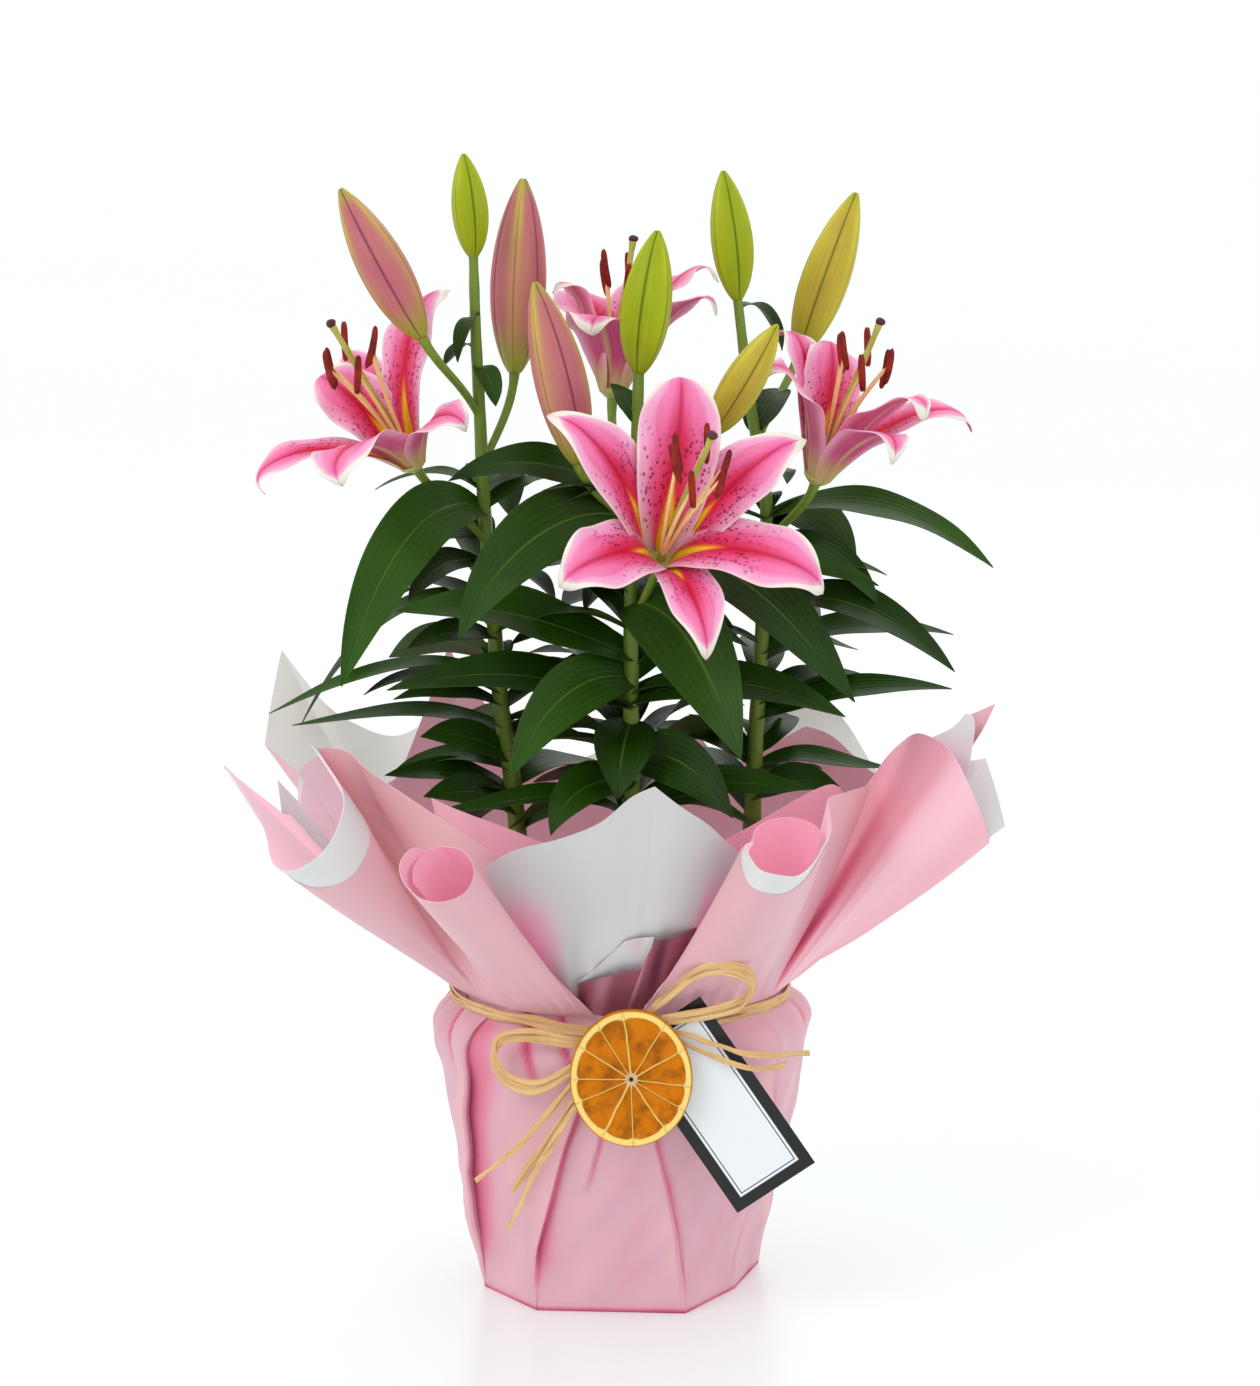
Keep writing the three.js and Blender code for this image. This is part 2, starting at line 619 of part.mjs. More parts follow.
// Six filaments with their anthers round the pistil, grown on one ovary in the throat.
function stamens({ foot, axis, stigma }) {
  const base = vec(...foot);
  const way = vec(...axis).normalize();
  const top = vec(...stigma);
  const throat = base.clone().addScaledVector(way, PISTIL.ovaryTop);
  const aim = top.clone().sub(base).normalize();
  const length = top.distanceTo(base);
  const ovary = loft([
    ring(base, way, PISTIL.seat, PISTIL.ovary[0], 4),
    ring(base, way, PISTIL.ovaryTop + PISTIL.lap, PISTIL.ovary[1], 4),
  ]);
  const nod = throat.clone().addScaledVector(way, PISTIL.bend * length);
  const style = rod([throat, nod, top], PISTIL.style, 4, 2);
  const knob = loft([
    [top.clone().addScaledVector(aim, -STIGMA.below)],
    ring(top, aim, 0, STIGMA.radius, STIGMA.sides),
    ring(top, aim, STIGMA.shoulder, STIGMA.shoulderRadius, STIGMA.sides),
    [top.clone().addScaledVector(aim, STIGMA.above)],
  ]);
  const parts = [ovary, style, knob];
  const side = vec(0, 1, 0).cross(aim).normalize();
  const out = aim.clone().cross(side);
  for (let k = 0; k < STAMEN.count; k++) {
    const turn = rad((FULL_TURN * (k + 0.5)) / STAMEN.count);
    const away = side.clone().multiplyScalar(Math.cos(turn)).addScaledVector(out, Math.sin(turn));
    const reach = STAMEN.lengths[k % 2] * length;
    const end = base.clone().addScaledVector(aim, reach).addScaledVector(away, STAMEN.spread);
    const start = base.clone().addScaledVector(way, STAMEN.foot).addScaledVector(away, 1);
    const bend = start.clone().addScaledVector(way, STAMEN.bend * length);
    bend.addScaledVector(away, STAMEN.bulge);
    parts.push(rod([start, bend, end], STAMEN.filament, 4, 2));
    const lean = vec(0, 0, 1).addScaledVector(away, STAMEN.lean).normalize();
    parts.push(
      loft([
        [end.clone().addScaledVector(lean, -STAMEN.anther / 2)],
        ring(end, lean, -STAMEN.anther / 4, STAMEN.antherRadius, 3),
        ring(end, lean, STAMEN.anther / 4, STAMEN.antherRadius, 3),
        [end.clone().addScaledVector(lean, STAMEN.anther / 2)],
      ]),
    );
  }
  return join(parts);
}

// A stem with its leaves and the stalks of its buds and flowers.
function leafyStem(stem) {
  const stalks = [];
  for (const { foot, tip, stem: on, from } of Object.values(BUDS)) {
    const base = vec(...foot);
    if (on === stem && from) stalks.push(pedicel(stem, from, base, vec(...tip).sub(base).normalize()));
  }
  for (const { foot, axis, stem: on, from } of Object.values(FLOWERS)) {
    const way = vec(...axis).normalize();
    const base = vec(...foot).addScaledVector(way, -RECEPTACLE.below);
    if (on === stem) stalks.push(pedicel(stem, from, base, way));
  }
  return join([stemRod(stem, 0), ...stalks, ...LEAVES[stem].map((row) => leaf(stem, row))]);
}

// The cup of paper. Radius of the flat-sided base at an azimuth.
function baseRadius(azimuth) {
  const corners = BASE_CORNERS.map(([a, r]) => onCircle(a, r, 0));
  const ray = onCircle(azimuth, 1, 0);
  for (let i = 0; i < corners.length; i++) {
    const [p, q] = [corners[i], corners[(i + 1) % corners.length]];
    const edge = q.clone().sub(p);
    const cross = ray.x * edge.y - ray.y * edge.x;
    const along = (p.x * edge.y - p.y * edge.x) / cross;
    const share = (p.x * ray.y - p.y * ray.x) / cross;
    if (along > 0 && share >= -1e-9 && share <= 1) return along;
  }
  return BASE_CORNERS[0][1];
}

// Columns of the cup: each has its azimuth at the neck and at the base, and its share of pleat height.
function cupColumns() {
  const columns = [];
  PLEATS.forEach(([top, base], i) => {
    const wrapped = i + 1 === PLEATS.length;
    const next = PLEATS[(i + 1) % PLEATS.length];
    const nextTop = next[0] + (wrapped ? FULL_TURN : 0);
    const nextBase = next[1] + (wrapped ? FULL_TURN : 0);
    columns.push([top, base, 1], [top + PLEAT.width, base + PLEAT.width, 0]);
    const count = Math.round((nextTop - top) / PLEAT.spacing);
    for (let k = 1; k < count; k++) {
      const share = k / count;
      columns.push([mix(top, nextTop, share), mix(base, nextBase, share), PLEAT.rise * share]);
    }
  });
  return columns;
}

function cupPoint([top, base, pleat], z, inset) {
  const azimuth = mix(base, top, smooth(z / COLLAR_FOOT.outer[1]));
  const round = smooth(z / CUP_ROUND_HEIGHT);
  const flat = mix(baseRadius(azimuth) / CUP_PROFILE[0][1], 1, round);
  const fade = smooth(z / PLEAT.baseFade) * (1 - THREE.MathUtils.smoothstep(z, ...PLEAT.topFade));
  return onCircle(azimuth, between(CUP_PROFILE, z) * flat + PLEAT.height * pleat * fade - inset, z);
}

// The cup of the outer sheet: a thin closed wall from the middle of the base up to the neck.
function outerCup() {
  const heights = CUP_PROFILE.map(([z]) => z);
  const columns = cupColumns();
  const rows = (inset, bottom) =>
    heights.map((z, i) => columns.map((c) => cupPoint(c, z, inset)).map((p) => (i ? p : p.setZ(bottom))));
  const outside = [[vec(0, 0, 0)], ...rows(-PAPER / 2, 0)];
  const inside = [...rows(PAPER / 2, PAPER).reverse(), [vec(0, 0, PAPER)]];
  return loft([...outside, ...inside], (row) => row > heights.length);
}

// The foot of the inner sheet: a band inside the neck, down past the rim of the pot.
function innerBand() {
  const { heights, inset } = TUCK;
  const sections = cupColumns().map((column) => {
    const side = (depth) => heights.map((z) => cupPoint(column, z, inset + depth));
    return [...side(-PAPER / 2), ...side(PAPER / 2).reverse()];
  });
  return closedBand(sections);
}

// Panels of the collar: sheets of straight rulings from the neck to a free rim. `rim` holds, for each
// ruling in turn, its end point and its azimuth at the neck; `out` moves the foot outside the sheet.
const OUTER_PANELS = {
  // right, back and left sides, then the big left roll and the low front left side
  sides: {
    out: 0,
    rim: [
      [190, -15, 250, 355], [188, 22, 268, 7], [172, 52, 288, 17], [150, 66, 264, 24], [128, 78, 292, 32],
      [113, 92, 311, 39], [98, 100, 313, 46], [80, 108, 301, 53], [62, 112, 273, 61], [38, 128, 262, 73],
      [8, 140, 280, 87], [-30, 134, 262, 103], [-64, 122, 280, 118], [-96, 112, 300, 130],
      [-124, 88, 285, 144], [-134, 72, 276, 152], [-160, 60, 316, 160], [-186, 38, 342, 168],
      [-191, 14, 313, 174], [-193, -4, 297, 178], [-174, -20, 284, 182], [-174, -44, 250, 186],
      [-177, -50, 268, 188], [-209, -62, 297, 190], [-188, -78, 268, 194], [-177, -92, 248, 198],
      [-161, -110, 242, 203], [-143, -121, 247, 208], [-132, -122, 259, 211], [-129, -112, 272, 214],
      [-139, -97, 286, 217], [-151, -85, 300, 219], [-158, -78, 310, 221], [-143, -86, 310, 224],
      [-132, -94, 302, 227], [-112, -106, 291, 231], [-86, -119, 276, 237], [-64, -124, 262, 246],
    ],
  },
  scrollLeft: {
    out: 1.6,
    rim: [
      [-97, -157, 271, 230], [-105, -162, 274, 231], [-111, -169, 268, 233], [-109, -178, 260, 237],
      [-100, -185, 253, 242], [-88, -188, 252, 248], [-77, -182, 256, 253], [-73, -172, 265, 257],
      [-79, -162, 273, 260], [-90, -155, 274, 262],
    ],
  },
  scrollLeftTurn: {
    out: 0.4,
    rim: [[-90, -155, 274, 262], [-98, -156, 271, 256], [-104, -163, 265, 249], [-104, -172, 258, 243]],
  },
  lowFront: {
    out: 0,
    rim: [
      [-23, -104, 195, 258], [-16, -110, 192, 266], [-4, -114, 195, 272], [11, -112, 199, 279],
      [21, -106, 204, 288], [37, -98, 206, 297],
    ],
  },
  scrollRight: {
    out: 1.6,
    rim: [
      [68, -150, 275, 291], [62, -156, 272, 292], [62, -166, 264, 296], [66, -175, 257, 300],
      [75, -179, 254, 305], [85, -177, 254, 310], [94, -170, 259, 315], [101, -160, 267, 320],
      [108, -146, 278, 324], [108, -134, 287, 327], [108, -118, 291, 329], [118, -92, 289, 332],
      [133, -52, 285, 336],
    ],
  },
  scrollRightTurn: {
    out: 0.4,
    rim: [
      [68, -150, 275, 292], [70, -140, 280, 297], [78, -132, 283, 302], [89, -127, 283, 308],
      [100, -130, 280, 314], [104, -140, 276, 318],
    ],
  },
  bigCone: {
    out: 1.2,
    rim: [
      [120, -60, 271, 321], [133, -52, 288, 323], [144, -46, 302, 325], [157, -48, 312, 328],
      [167, -73, 313, 333], [173, -89, 309, 337], [179, -98, 299, 341], [187, -95, 282, 345],
      [193, -79, 266, 349], [196, -58, 255, 353], [198, -36, 253, 357],
    ],
  },
};
const INNER_PANELS = {
  // white front panel with its tip up
  front: {
    out: 0,
    rim: [
      [-70, -130, 257, 249], [-54, -139, 268, 253], [-30, -147, 276, 258], [-10, -151, 285, 264],
      [6, -155, 299, 269], [18, -157, 305, 275], [31, -153, 294, 281], [46, -143, 282, 287],
      [58, -130, 268, 292], [68, -122, 258, 298],
    ],
  },
  behindLeft: {
    out: -1.4,
    rim: [[-98, -84, 285, 219], [-74, -98, 277, 231], [-52, -106, 271, 244], [-30, -112, 262, 255]],
  },
  behindRight: {
    out: -1.4,
    rim: [
      [38, -108, 257, 289], [55, -106, 267, 297], [72, -100, 275, 306], [90, -88, 283, 316],
      [104, -74, 287, 325], [114, -56, 286, 334], [120, -34, 276, 344],
    ],
  },
  // right back, back and left back sides
  back: {
    out: 0,
    rim: [
      [166, -18, 272, 354], [160, 20, 282, 7], [142, 44, 272, 17], [118, 62, 290, 28], [103, 78, 293, 37],
      [84, 90, 280, 47], [60, 100, 268, 59], [38, 110, 290, 71], [10, 116, 270, 85], [-26, 112, 266, 103],
      [-60, 106, 284, 119], [-84, 97, 312, 131], [-97, 89, 336, 137], [-110, 72, 300, 147],
      [-122, 56, 272, 155], [-130, 38, 268, 164], [-140, 14, 274, 174], [-150, -8, 282, 183],
    ],
  },
  // white strip and pointed corners that stand out of the cone
  strip: {
    out: -1,
    rim: [
      [174, -62, 298, 339], [193, -64, 302, 343], [200, -52, 281, 349], [206, -36, 260, 354],
      [196, -28, 250, 357],
    ],
  },
  corner: {
    out: -1.3,
    rim: [
      [162, -54, 310, 335], [175, -58, 317, 338], [182, -60, 325, 340], [187, -62, 321, 341],
      [184, -66, 295, 343],
    ],
  },
  turnedCorner: {
    out: -1.6,
    rim: [
      [181, -56, 322, 340], [198, -58, 330, 341], [192, -58, 317, 342], [184, -60, 304, 343],
      [182, -60, 294, 344],
    ],
  },
};
// Linings: the inner sheet follows the outer one into its rolls and stands past its rim by a share.
const LININGS = [
  {
    panel: "sides",
    first: 17,
    reach: [0.66, 0.8, 0.85, 0.97, 1, 1, 1.01, 1.01, 1.06, 1.14, 1.2, 1.22, 1.22, 1.2, 1.1, 1],
  },
  { panel: "scrollRight", first: 0, reach: [1, 1.03, 1.08, 1.12, 1.14, 1.13, 1.1, 1.06, 1] },
];
const LINING_INSET = 2;
const PANEL = { rows: 1, bow: 3, sink: 60 };

function collarFoot(sheet, azimuth, out) {
  const [radius, height] = COLLAR_FOOT[sheet];
  return onCircle(azimuth, radius + out, height);
}

// A point along a ruling, bowed a little away from the plant.
function alongRuling(foot, end, t) {
  const away = vec(end.x, end.y, -PANEL.sink).normalize();
  return foot.clone().lerp(end, t).addScaledVector(away, PANEL.bow * 4 * t * Math.max(1 - t, 0));
}

const shares = Array.from({ length: PANEL.rows + 1 }, (_, row) => row / PANEL.rows);

function panel(sheet, { out, rim }, thickness = PAPER) {
  const grid = shares.map((t) =>
    rim.map(([x, y, z, azimuth]) => alongRuling(collarFoot(sheet, azimuth, out), vec(x, y, z), t)),
  );
  return blade(grid, thickness);
}

function lining({ panel: name, first, reach }) {
  const { out, rim } = OUTER_PANELS[name];
  const rows = shares.map((t) =>
    reach.map((share, i) => {
      const [x, y, z, azimuth] = rim[first + i];
      return alongRuling(collarFoot("outer", azimuth, out), vec(x, y, z), t * share);
    }),
  );
  const grid = rows.map((row, r) =>
    row.map((point, c) => {
      if (r === 0) return collarFoot("inner", rim[first + c][3], 0);
      const across = row[Math.min(c + 1, row.length - 1)].clone().sub(row[Math.max(c - 1, 0)]);
      const along = point.clone().sub(rows[r - 1][c]);
      return point.clone().addScaledVector(along.cross(across).normalize(), LINING_INSET);
    }),
  );
  return blade(grid, PAPER);
}

function outerSheet() {
  const panels = Object.values(OUTER_PANELS).map((shape) => panel("outer", shape));
  return join([outerCup(), ...panels]);
}

// The inner sheet is cut clear of the outer one wherever their folds would meet.
function innerSheet() {
  const panels = Object.values(INNER_PANELS).map((shape) => panel("inner", shape));
  const sheet = join([innerBand(), ...panels, ...LININGS.map(lining)]);
  const cleared = Object.values(OUTER_PANELS)
    .map((shape) => solidOf(panel("outer", shape, PAPER + 2 * GAP)))
    .reduce((rest, room) => rest.subtract(room), sheet);
  return largest(cleared);
}

// Raffia: a flat band round the neck that comes forward to a knot, with two loops and loose ends.
const RAFFIA_ENDS = [
  { path: [[-2, -104, 158], [-24, -107, 138], [-50, -98, 104], [-77, -76, 75]], radii: [1.5, 0.8] },
  { path: [[0, -104, 158], [-20, -107.5, 130], [-40, -99, 98], [-57, -84, 71]], radii: [1.4, 0.8] },
  { path: [[2, -104, 158], [-22, -107.5, 126], [-40, -98, 94], [-60, -80, 49]], radii: [1.2, 0.7] },
  {
    path: [[8, -106, 167], [14, -113, 170], [38, -113, 163], [68, -112.8, 154], [101, -68, 143]],
    radii: [1.1, 0.7],
  },
  {
    path: [[8, -106, 167], [14, -113, 168.5], [38, -113, 158], [68, -112.8, 146], [88, -80, 140]],
    radii: [1, 0.7],
  },
];
const RAFFIA_LOOPS = [
  [[0, -104, 160], [-23, -106, 158], [-46, -100, 160], [-62, -93, 156], [-67, -92, 146], [-60, -94, 135],
    [-44, -100, 132], [-24, -106, 144], [0, -105, 158]],
  [[8, -104, 166], [20, -113, 180], [38, -124, 198], [54, -128, 203], [67, -126, 198], [65, -121, 184],
    [48, -115, 176], [32, -112.6, 172.5], [20, -111.4, 171], [8, -104, 164]],
];
const RING_STEPS = 24;
const LOOP_STEPS = 10;

function raffiaTie() {
  const { ringRadius, ringHeight, band, tall, loop } = RAFFIA;
  const { from, forward, drop } = RAFFIA_FRONT;
  const sections = Array.from({ length: RING_STEPS }, (_, k) => {
    const azimuth = (FULL_TURN * k) / RING_STEPS;
    const front = THREE.MathUtils.smoothstep(Math.cos(rad(azimuth - KNOT.azimuth)), from, 1);
    const at = (r, z) =>
      onCircle(azimuth, ringRadius + forward * front + r * band, ringHeight - drop * front + z * tall);
    return RAFFIA_SECTION.map(([r, z]) => at(r, z));
  });
  const knot = new THREE.SphereGeometry(1, ...KNOT.sides).scale(...KNOT.size).translate(...KNOT.centre);
  const loops = RAFFIA_LOOPS.map((path) => rod(path.map((p) => vec(...p)), [loop, loop], 4, LOOP_STEPS));
  const ends = RAFFIA_ENDS.map(({ path, radii }) => {
    const points = path.map((p) => vec(...p));
    return rod(points, radii, 4, 2 * (path.length - 1));
  });
  return join([closedBand(sections), knot, ...loops, ...ends]);
}

// A skin over sections that go round and meet again.
function closedBand(sections) {
  const [n, m] = [sections.length, sections[0].length];
  const faces = [];
  for (let i = 0; i < n; i++) {
    for (let k = 0; k < m; k++) {
      const [a, b] = [i * m + k, i * m + ((k + 1) % m)];
      const [c, d] = [((i + 1) % n) * m + k, ((i + 1) % n) * m + ((k + 1) % m)];
      faces.push([a, b, d], [a, d, c]);
    }
  }
  return outward(sections.flat(), faces);
}

function orangeSlice() {
  const { centre, halfWidth, halfHeight, thickness, bevel } = ORANGE;
  const outline = new THREE.Shape().absellipse(0, 0, halfWidth - bevel, halfHeight - bevel, 0, 2 * Math.PI);
  return new THREE.ExtrudeGeometry(outline, {
    depth: thickness - 2 * bevel,
    bevelThickness: bevel,
    bevelSize: bevel,
    bevelSegments: 1,
    curveSegments: 14,
  })
    .translate(0, 0, -thickness / 2 + bevel)
    .rotateX(rad(90))
    .translate(...centre);
}

function giftCard() {
  const along = vec(...CARD.along).normalize();
  const across = along.clone().cross(vec(0, -1, 0)).normalize();
  const face = along.clone().cross(across);
  const outline = new THREE.Shape([
    new THREE.Vector2(0, 0),
    new THREE.Vector2(CARD.length, 0),
    new THREE.Vector2(CARD.length, CARD.width),
    new THREE.Vector2(0, CARD.width),
  ]);
  const place = new THREE.Matrix4().makeBasis(along, across, face).setPosition(vec(...CARD.corner));
  const board = new THREE.ExtrudeGeometry(outline, { depth: CARD.thickness, bevelEnabled: false });
  return board.applyMatrix4(place);
}

addMesh("nursery_pot", nurseryPot(), FINISH.plastic);
addMesh("soil", pottingSoil(), FINISH.soil);
addMesh("wrap_outer", outerSheet(), FINISH.paperPink);
addMesh("wrap_inner", innerSheet(), FINISH.paperWhite);
addMesh("raffia_tie", raffiaTie(), FINISH.raffia);
addMesh("orange_slice", orangeSlice(), FINISH.orange);
addMesh("gift_card", giftCard(), FINISH.card);
for (const stem of Object.keys(STEMS)) addMesh("stem_" + stem, leafyStem(stem), FINISH.leaf);
for (const [name, flower] of Object.entries(FLOWERS)) {
  addMesh("bloom_" + name, bloom(flower), FINISH.tepal);
  addMesh("stamens_" + name, stamens(flower), FINISH.stamen);
}
for (const [name, shape] of Object.entries(BUDS)) {
  addMesh(name, bud(shape), shape.pink ? FINISH.pinkBud : FINISH.greenBud);
}

export default lily;
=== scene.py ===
"""Dresses a potted lily in a paper wrap: paper, raffia, leaves, buds and open flowers.

Shapes are worked out in millimetres, +Z up with the front towards -Y, and go into Blender in metres.
"""

import logging
import math
from dataclasses import dataclass, field, fields
from enum import Enum
from typing import Callable, ClassVar, Sequence

import bpy
import mathutils
import numpy as np
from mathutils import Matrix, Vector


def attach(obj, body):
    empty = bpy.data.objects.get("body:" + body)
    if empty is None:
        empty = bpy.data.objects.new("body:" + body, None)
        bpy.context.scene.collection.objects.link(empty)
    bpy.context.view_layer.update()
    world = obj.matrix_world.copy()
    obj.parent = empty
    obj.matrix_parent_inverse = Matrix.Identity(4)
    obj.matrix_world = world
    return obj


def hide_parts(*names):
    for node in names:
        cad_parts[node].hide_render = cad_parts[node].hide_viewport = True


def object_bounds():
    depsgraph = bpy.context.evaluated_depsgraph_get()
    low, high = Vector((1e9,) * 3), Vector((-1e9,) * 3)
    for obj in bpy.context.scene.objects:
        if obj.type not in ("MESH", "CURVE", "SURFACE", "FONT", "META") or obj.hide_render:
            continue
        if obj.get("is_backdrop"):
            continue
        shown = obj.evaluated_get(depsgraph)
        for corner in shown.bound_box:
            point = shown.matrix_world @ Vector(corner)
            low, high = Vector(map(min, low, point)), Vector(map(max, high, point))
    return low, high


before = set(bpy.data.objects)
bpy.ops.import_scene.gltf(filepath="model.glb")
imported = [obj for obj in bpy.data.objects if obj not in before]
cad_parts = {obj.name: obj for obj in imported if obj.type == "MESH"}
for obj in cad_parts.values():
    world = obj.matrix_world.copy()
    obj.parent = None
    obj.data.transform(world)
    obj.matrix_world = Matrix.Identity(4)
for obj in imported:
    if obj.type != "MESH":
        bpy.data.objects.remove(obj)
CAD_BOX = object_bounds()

Array = np.ndarray
Triple = tuple[float, float, float]
Material = bpy.types.Material
Materials = Sequence[Material]
Draw = np.random.Generator

LOG = logging.getLogger("potted_lily")
MM = 0.001
BODY = "root"
SEED = 7
# Tone of paper where no shade is painted; a lower tone paints it lit, a higher one paints shade.
PLAIN_TONE = 0.25
NECK = 169.0

# Shape maths.


def rad(degrees: Array | float) -> Array | float:
    """Degrees as radians."""
    return np.deg2rad(degrees)


def unit(v: Array) -> Array:
    """Vectors scaled to length one along their last axis."""
    length = np.linalg.norm(v, axis=-1, keepdims=True)
    return v / np.maximum(length, 1e-9)


def ease(x: Array | float) -> Array:
    """The smooth step 3x^2 - 2x^3, held at 0 and 1 outside them."""
    x = np.clip(x, 0.0, 1.0)
    return x * x * (3.0 - 2.0 * x)


def bell(x: Array, width: float) -> Array:
    """The bell curve exp(-(x / width)^2)."""
    return np.exp(-((x / width) ** 2))


def path_length(path: Array) -> Array:
    """Length along a path up to each of its points."""
    return np.concatenate([[0], np.cumsum(np.linalg.norm(np.diff(path, axis=0), axis=1))])


def beside(start: Array, side: Array, x: Array, up: Array, y: Array) -> Array:
    """The points start + side * x + up * y, with a number x and y for each of them."""
    return start + side * x[..., None] + up * y[..., None]


def whole_turn(count: int) -> Array:
    """Angles of even steps round a circle, in radians."""
    return np.linspace(0, math.tau, count, endpoint=False)


def polar(azimuth: Array | float, radius: Array | float, z: Array | float) -> Array:
    """Points from an azimuth in degrees from +X towards +Y, a distance from the Z axis and a height."""
    azimuth, radius, z = np.broadcast_arrays(azimuth, radius, z)
    return np.stack([radius * np.cos(rad(azimuth)), radius * np.sin(rad(azimuth)), z], axis=-1)


def heading(azimuth: float, climb: float) -> Array:
    """The unit vector at an azimuth and a climb above the horizon, in degrees."""
    return polar(azimuth, math.cos(rad(climb)), math.sin(rad(climb)))


def swell(u: Array, peak: float, power: float) -> Array:
    """An outline that is 0 at both ends and 1 at its peak, where its slope is 0.

    It is (u / peak)^b * ((1 - u) / (1 - peak))^power, with b = power * peak / (1 - peak).

    Args:
        u: Position from 0 to 1.
        peak: Where the outline is widest.
        power: How blunt the far end is.

    Returns:
        The outline at each position.
    """
    u = np.clip(u, 0.0, 1.0)
    return (u / peak) ** (power * peak / (1 - peak)) * ((1 - u) / (1 - peak)) ** power


def bezier(a: Array, b: Array, c: Array, d: Array, u: Array) -> tuple[Array, Array]:
    """A cubic Bezier curve.

    Args:
        a: Start point.
        b: First handle.
        c: Second handle.
        d: End point.
        u: Positions from 0 to 1.

    Returns:
        Points and unit tangents at the positions.
    """
    u = u[:, None]
    w = 1 - u
    points = w**3 * a + 3 * w * w * u * b + 3 * w * u * u * c + u**3 * d
    slopes = w * w * (b - a) + 2 * w * u * (c - b) + u * u * (d - c)
    return points, unit(slopes)


def through(points: Array, per_span: int, corners: Sequence[int] = ()) -> Array:
    """A smooth curve through points: cubic spans whose slope is half the step between both neighbours.

    Args:
        points: One row for each point.
        per_span: Samples on each span.
        corners: Rows with a slope of 0, which makes a corner there.

    Returns:
        Samples along the curve, with the last point.
    """
    points = np.asarray(points, float)
    slopes = np.gradient(points, axis=0)
    slopes[list(corners)] = 0.0
    t = np.linspace(0, 1, per_span, endpoint=False)[None, :, None]
    p, q = points[:-1, None], points[1:, None]
    m, n = slopes[:-1, None], slopes[1:, None]
    spans = (
        (
            2 * t**3 - 3 * t**2 + 1
        ) * p + (t**3 - 2 * t**2 + t) * m + (3 * t**2 - 2 * t**3) * q + (t**3 - t**2) * n
    )
    return np.concatenate([spans.reshape(-1, points.shape[1]), points[-1:]])


def ripple(x: Array, y: Array, seed: int, waves: int = 9, spread: float = 0.6) -> Array:
    """Smooth seeded unevenness of about -1 to 1: a sum of plane waves in random directions.

    Args:
        x: First coordinate, with 2 pi to the mean wave.
        y: Second coordinate, on the same scale.
        seed: Seed of the draw.
        waves: Number of waves.
        spread: How much their lengths differ.

    Returns:
        The height at each place.
    """
    draw = np.random.default_rng(seed)
    total = np.zeros(np.broadcast(x, y).shape)
    for _ in range(waves):
        turn, phase = draw.uniform(0, math.tau, 2)
        pitch = math.exp(draw.normal(0, spread))
        total = total + np.sin(pitch * (x * math.cos(turn) + y * math.sin(turn)) + phase)
    return total / math.sqrt(waves)


def spin(v: Array, axis: Array, degrees: Array | float) -> Array:
    """Vectors turned about axes: v cos + (axis x v) sin + axis (axis . v) (1 - cos).

    Args:
        v: Vectors.
        axis: Unit axes.
        degrees: Angle, for all or for each vector.

    Returns:
        The turned vectors.
    """
    angle = rad(np.asarray(degrees, float))[..., None]
    c, s = np.cos(angle), np.sin(angle)
    dot = np.sum(v * axis, axis=-1, keepdims=True)
    return v * c + np.cross(axis, v) * s + axis * dot * (1 - c)


def grid_normals(points: Array) -> Array:
    """Unit normals of a grid of points: step along its columns crossed with step along its rows."""
    return unit(np.cross(np.gradient(points, axis=1), np.gradient(points, axis=0)))


# Surfaces.


@dataclass
class Surface:
    """A stretch of surface in millimetres, with a UV at each corner and a material slot for each face."""

    points: Array
    quads: Array
    quad_uv: Array
    quad_slot: Array
    tone: Array
    tris: Array = field(default_factory=lambda: np.zeros((0, 3), int))
    tri_uv: Array = field(default_factory=lambda: np.zeros((0, 3, 2)))
    tri_slot: Array = field(default_factory=lambda: np.zeros(0, int))

    def outward(self) -> "Surface":
        """The closed surface with its faces turned so that it encloses a positive volume."""
        p = self.points
        a, b, c, d = (p[self.quads[:, k]] for k in range(4))
        volume = np.sum(a * np.cross(b, c)) + np.sum(a * np.cross(c, d))
        a, b, c = (p[self.tris[:, k]] for k in range(3))
        volume += np.sum(a * np.cross(b, c))
        if volume < 0:
            self.quads, self.quad_uv = self.quads[:, ::-1], self.quad_uv[:, ::-1]
            self.tris, self.tri_uv = self.tris[:, ::-1], self.tri_uv[:, ::-1]
        return self


def merged(parts: Sequence[Surface]) -> Surface:
    """Several surfaces as one.

    Args:
        parts: The surfaces.

    Returns:
        One surface, with the corners' numbers shifted to match.
    """
    starts = np.cumsum([0] + [len(s.points) for s in parts[:-1]])
    made = {f.name: np.concatenate([getattr(s, f.name) for s in parts]) for f in fields(Surface)}
    for name in ("quads", "tris"):
        made[name] = np.concatenate([getattr(s, name) + k for s, k in zip(parts, starts)])
    return Surface(**made)


def grid_faces(rows: int, columns: int, closed: bool) -> tuple[Array, Array, Array]:
    """Faces of a grid whose points are numbered row by row.

    Args:
        rows: Rows of points.
        columns: Points in a row.
        closed: Whether the last column joins the first.

    Returns:
        Quads, and each corner's row and column, with the columns not wrapped round.
    """
    r, c = np.meshgrid(np.arange(rows - 1), np.arange(columns - (not closed)), indexing="ij")
    rr = np.stack([r, r, r + 1, r + 1], axis=-1).reshape(-1, 4)
    cc = np.stack([c, c + 1, c + 1, c], axis=-1).reshape(-1, 4)
    return rr * columns + cc % columns, rr, cc


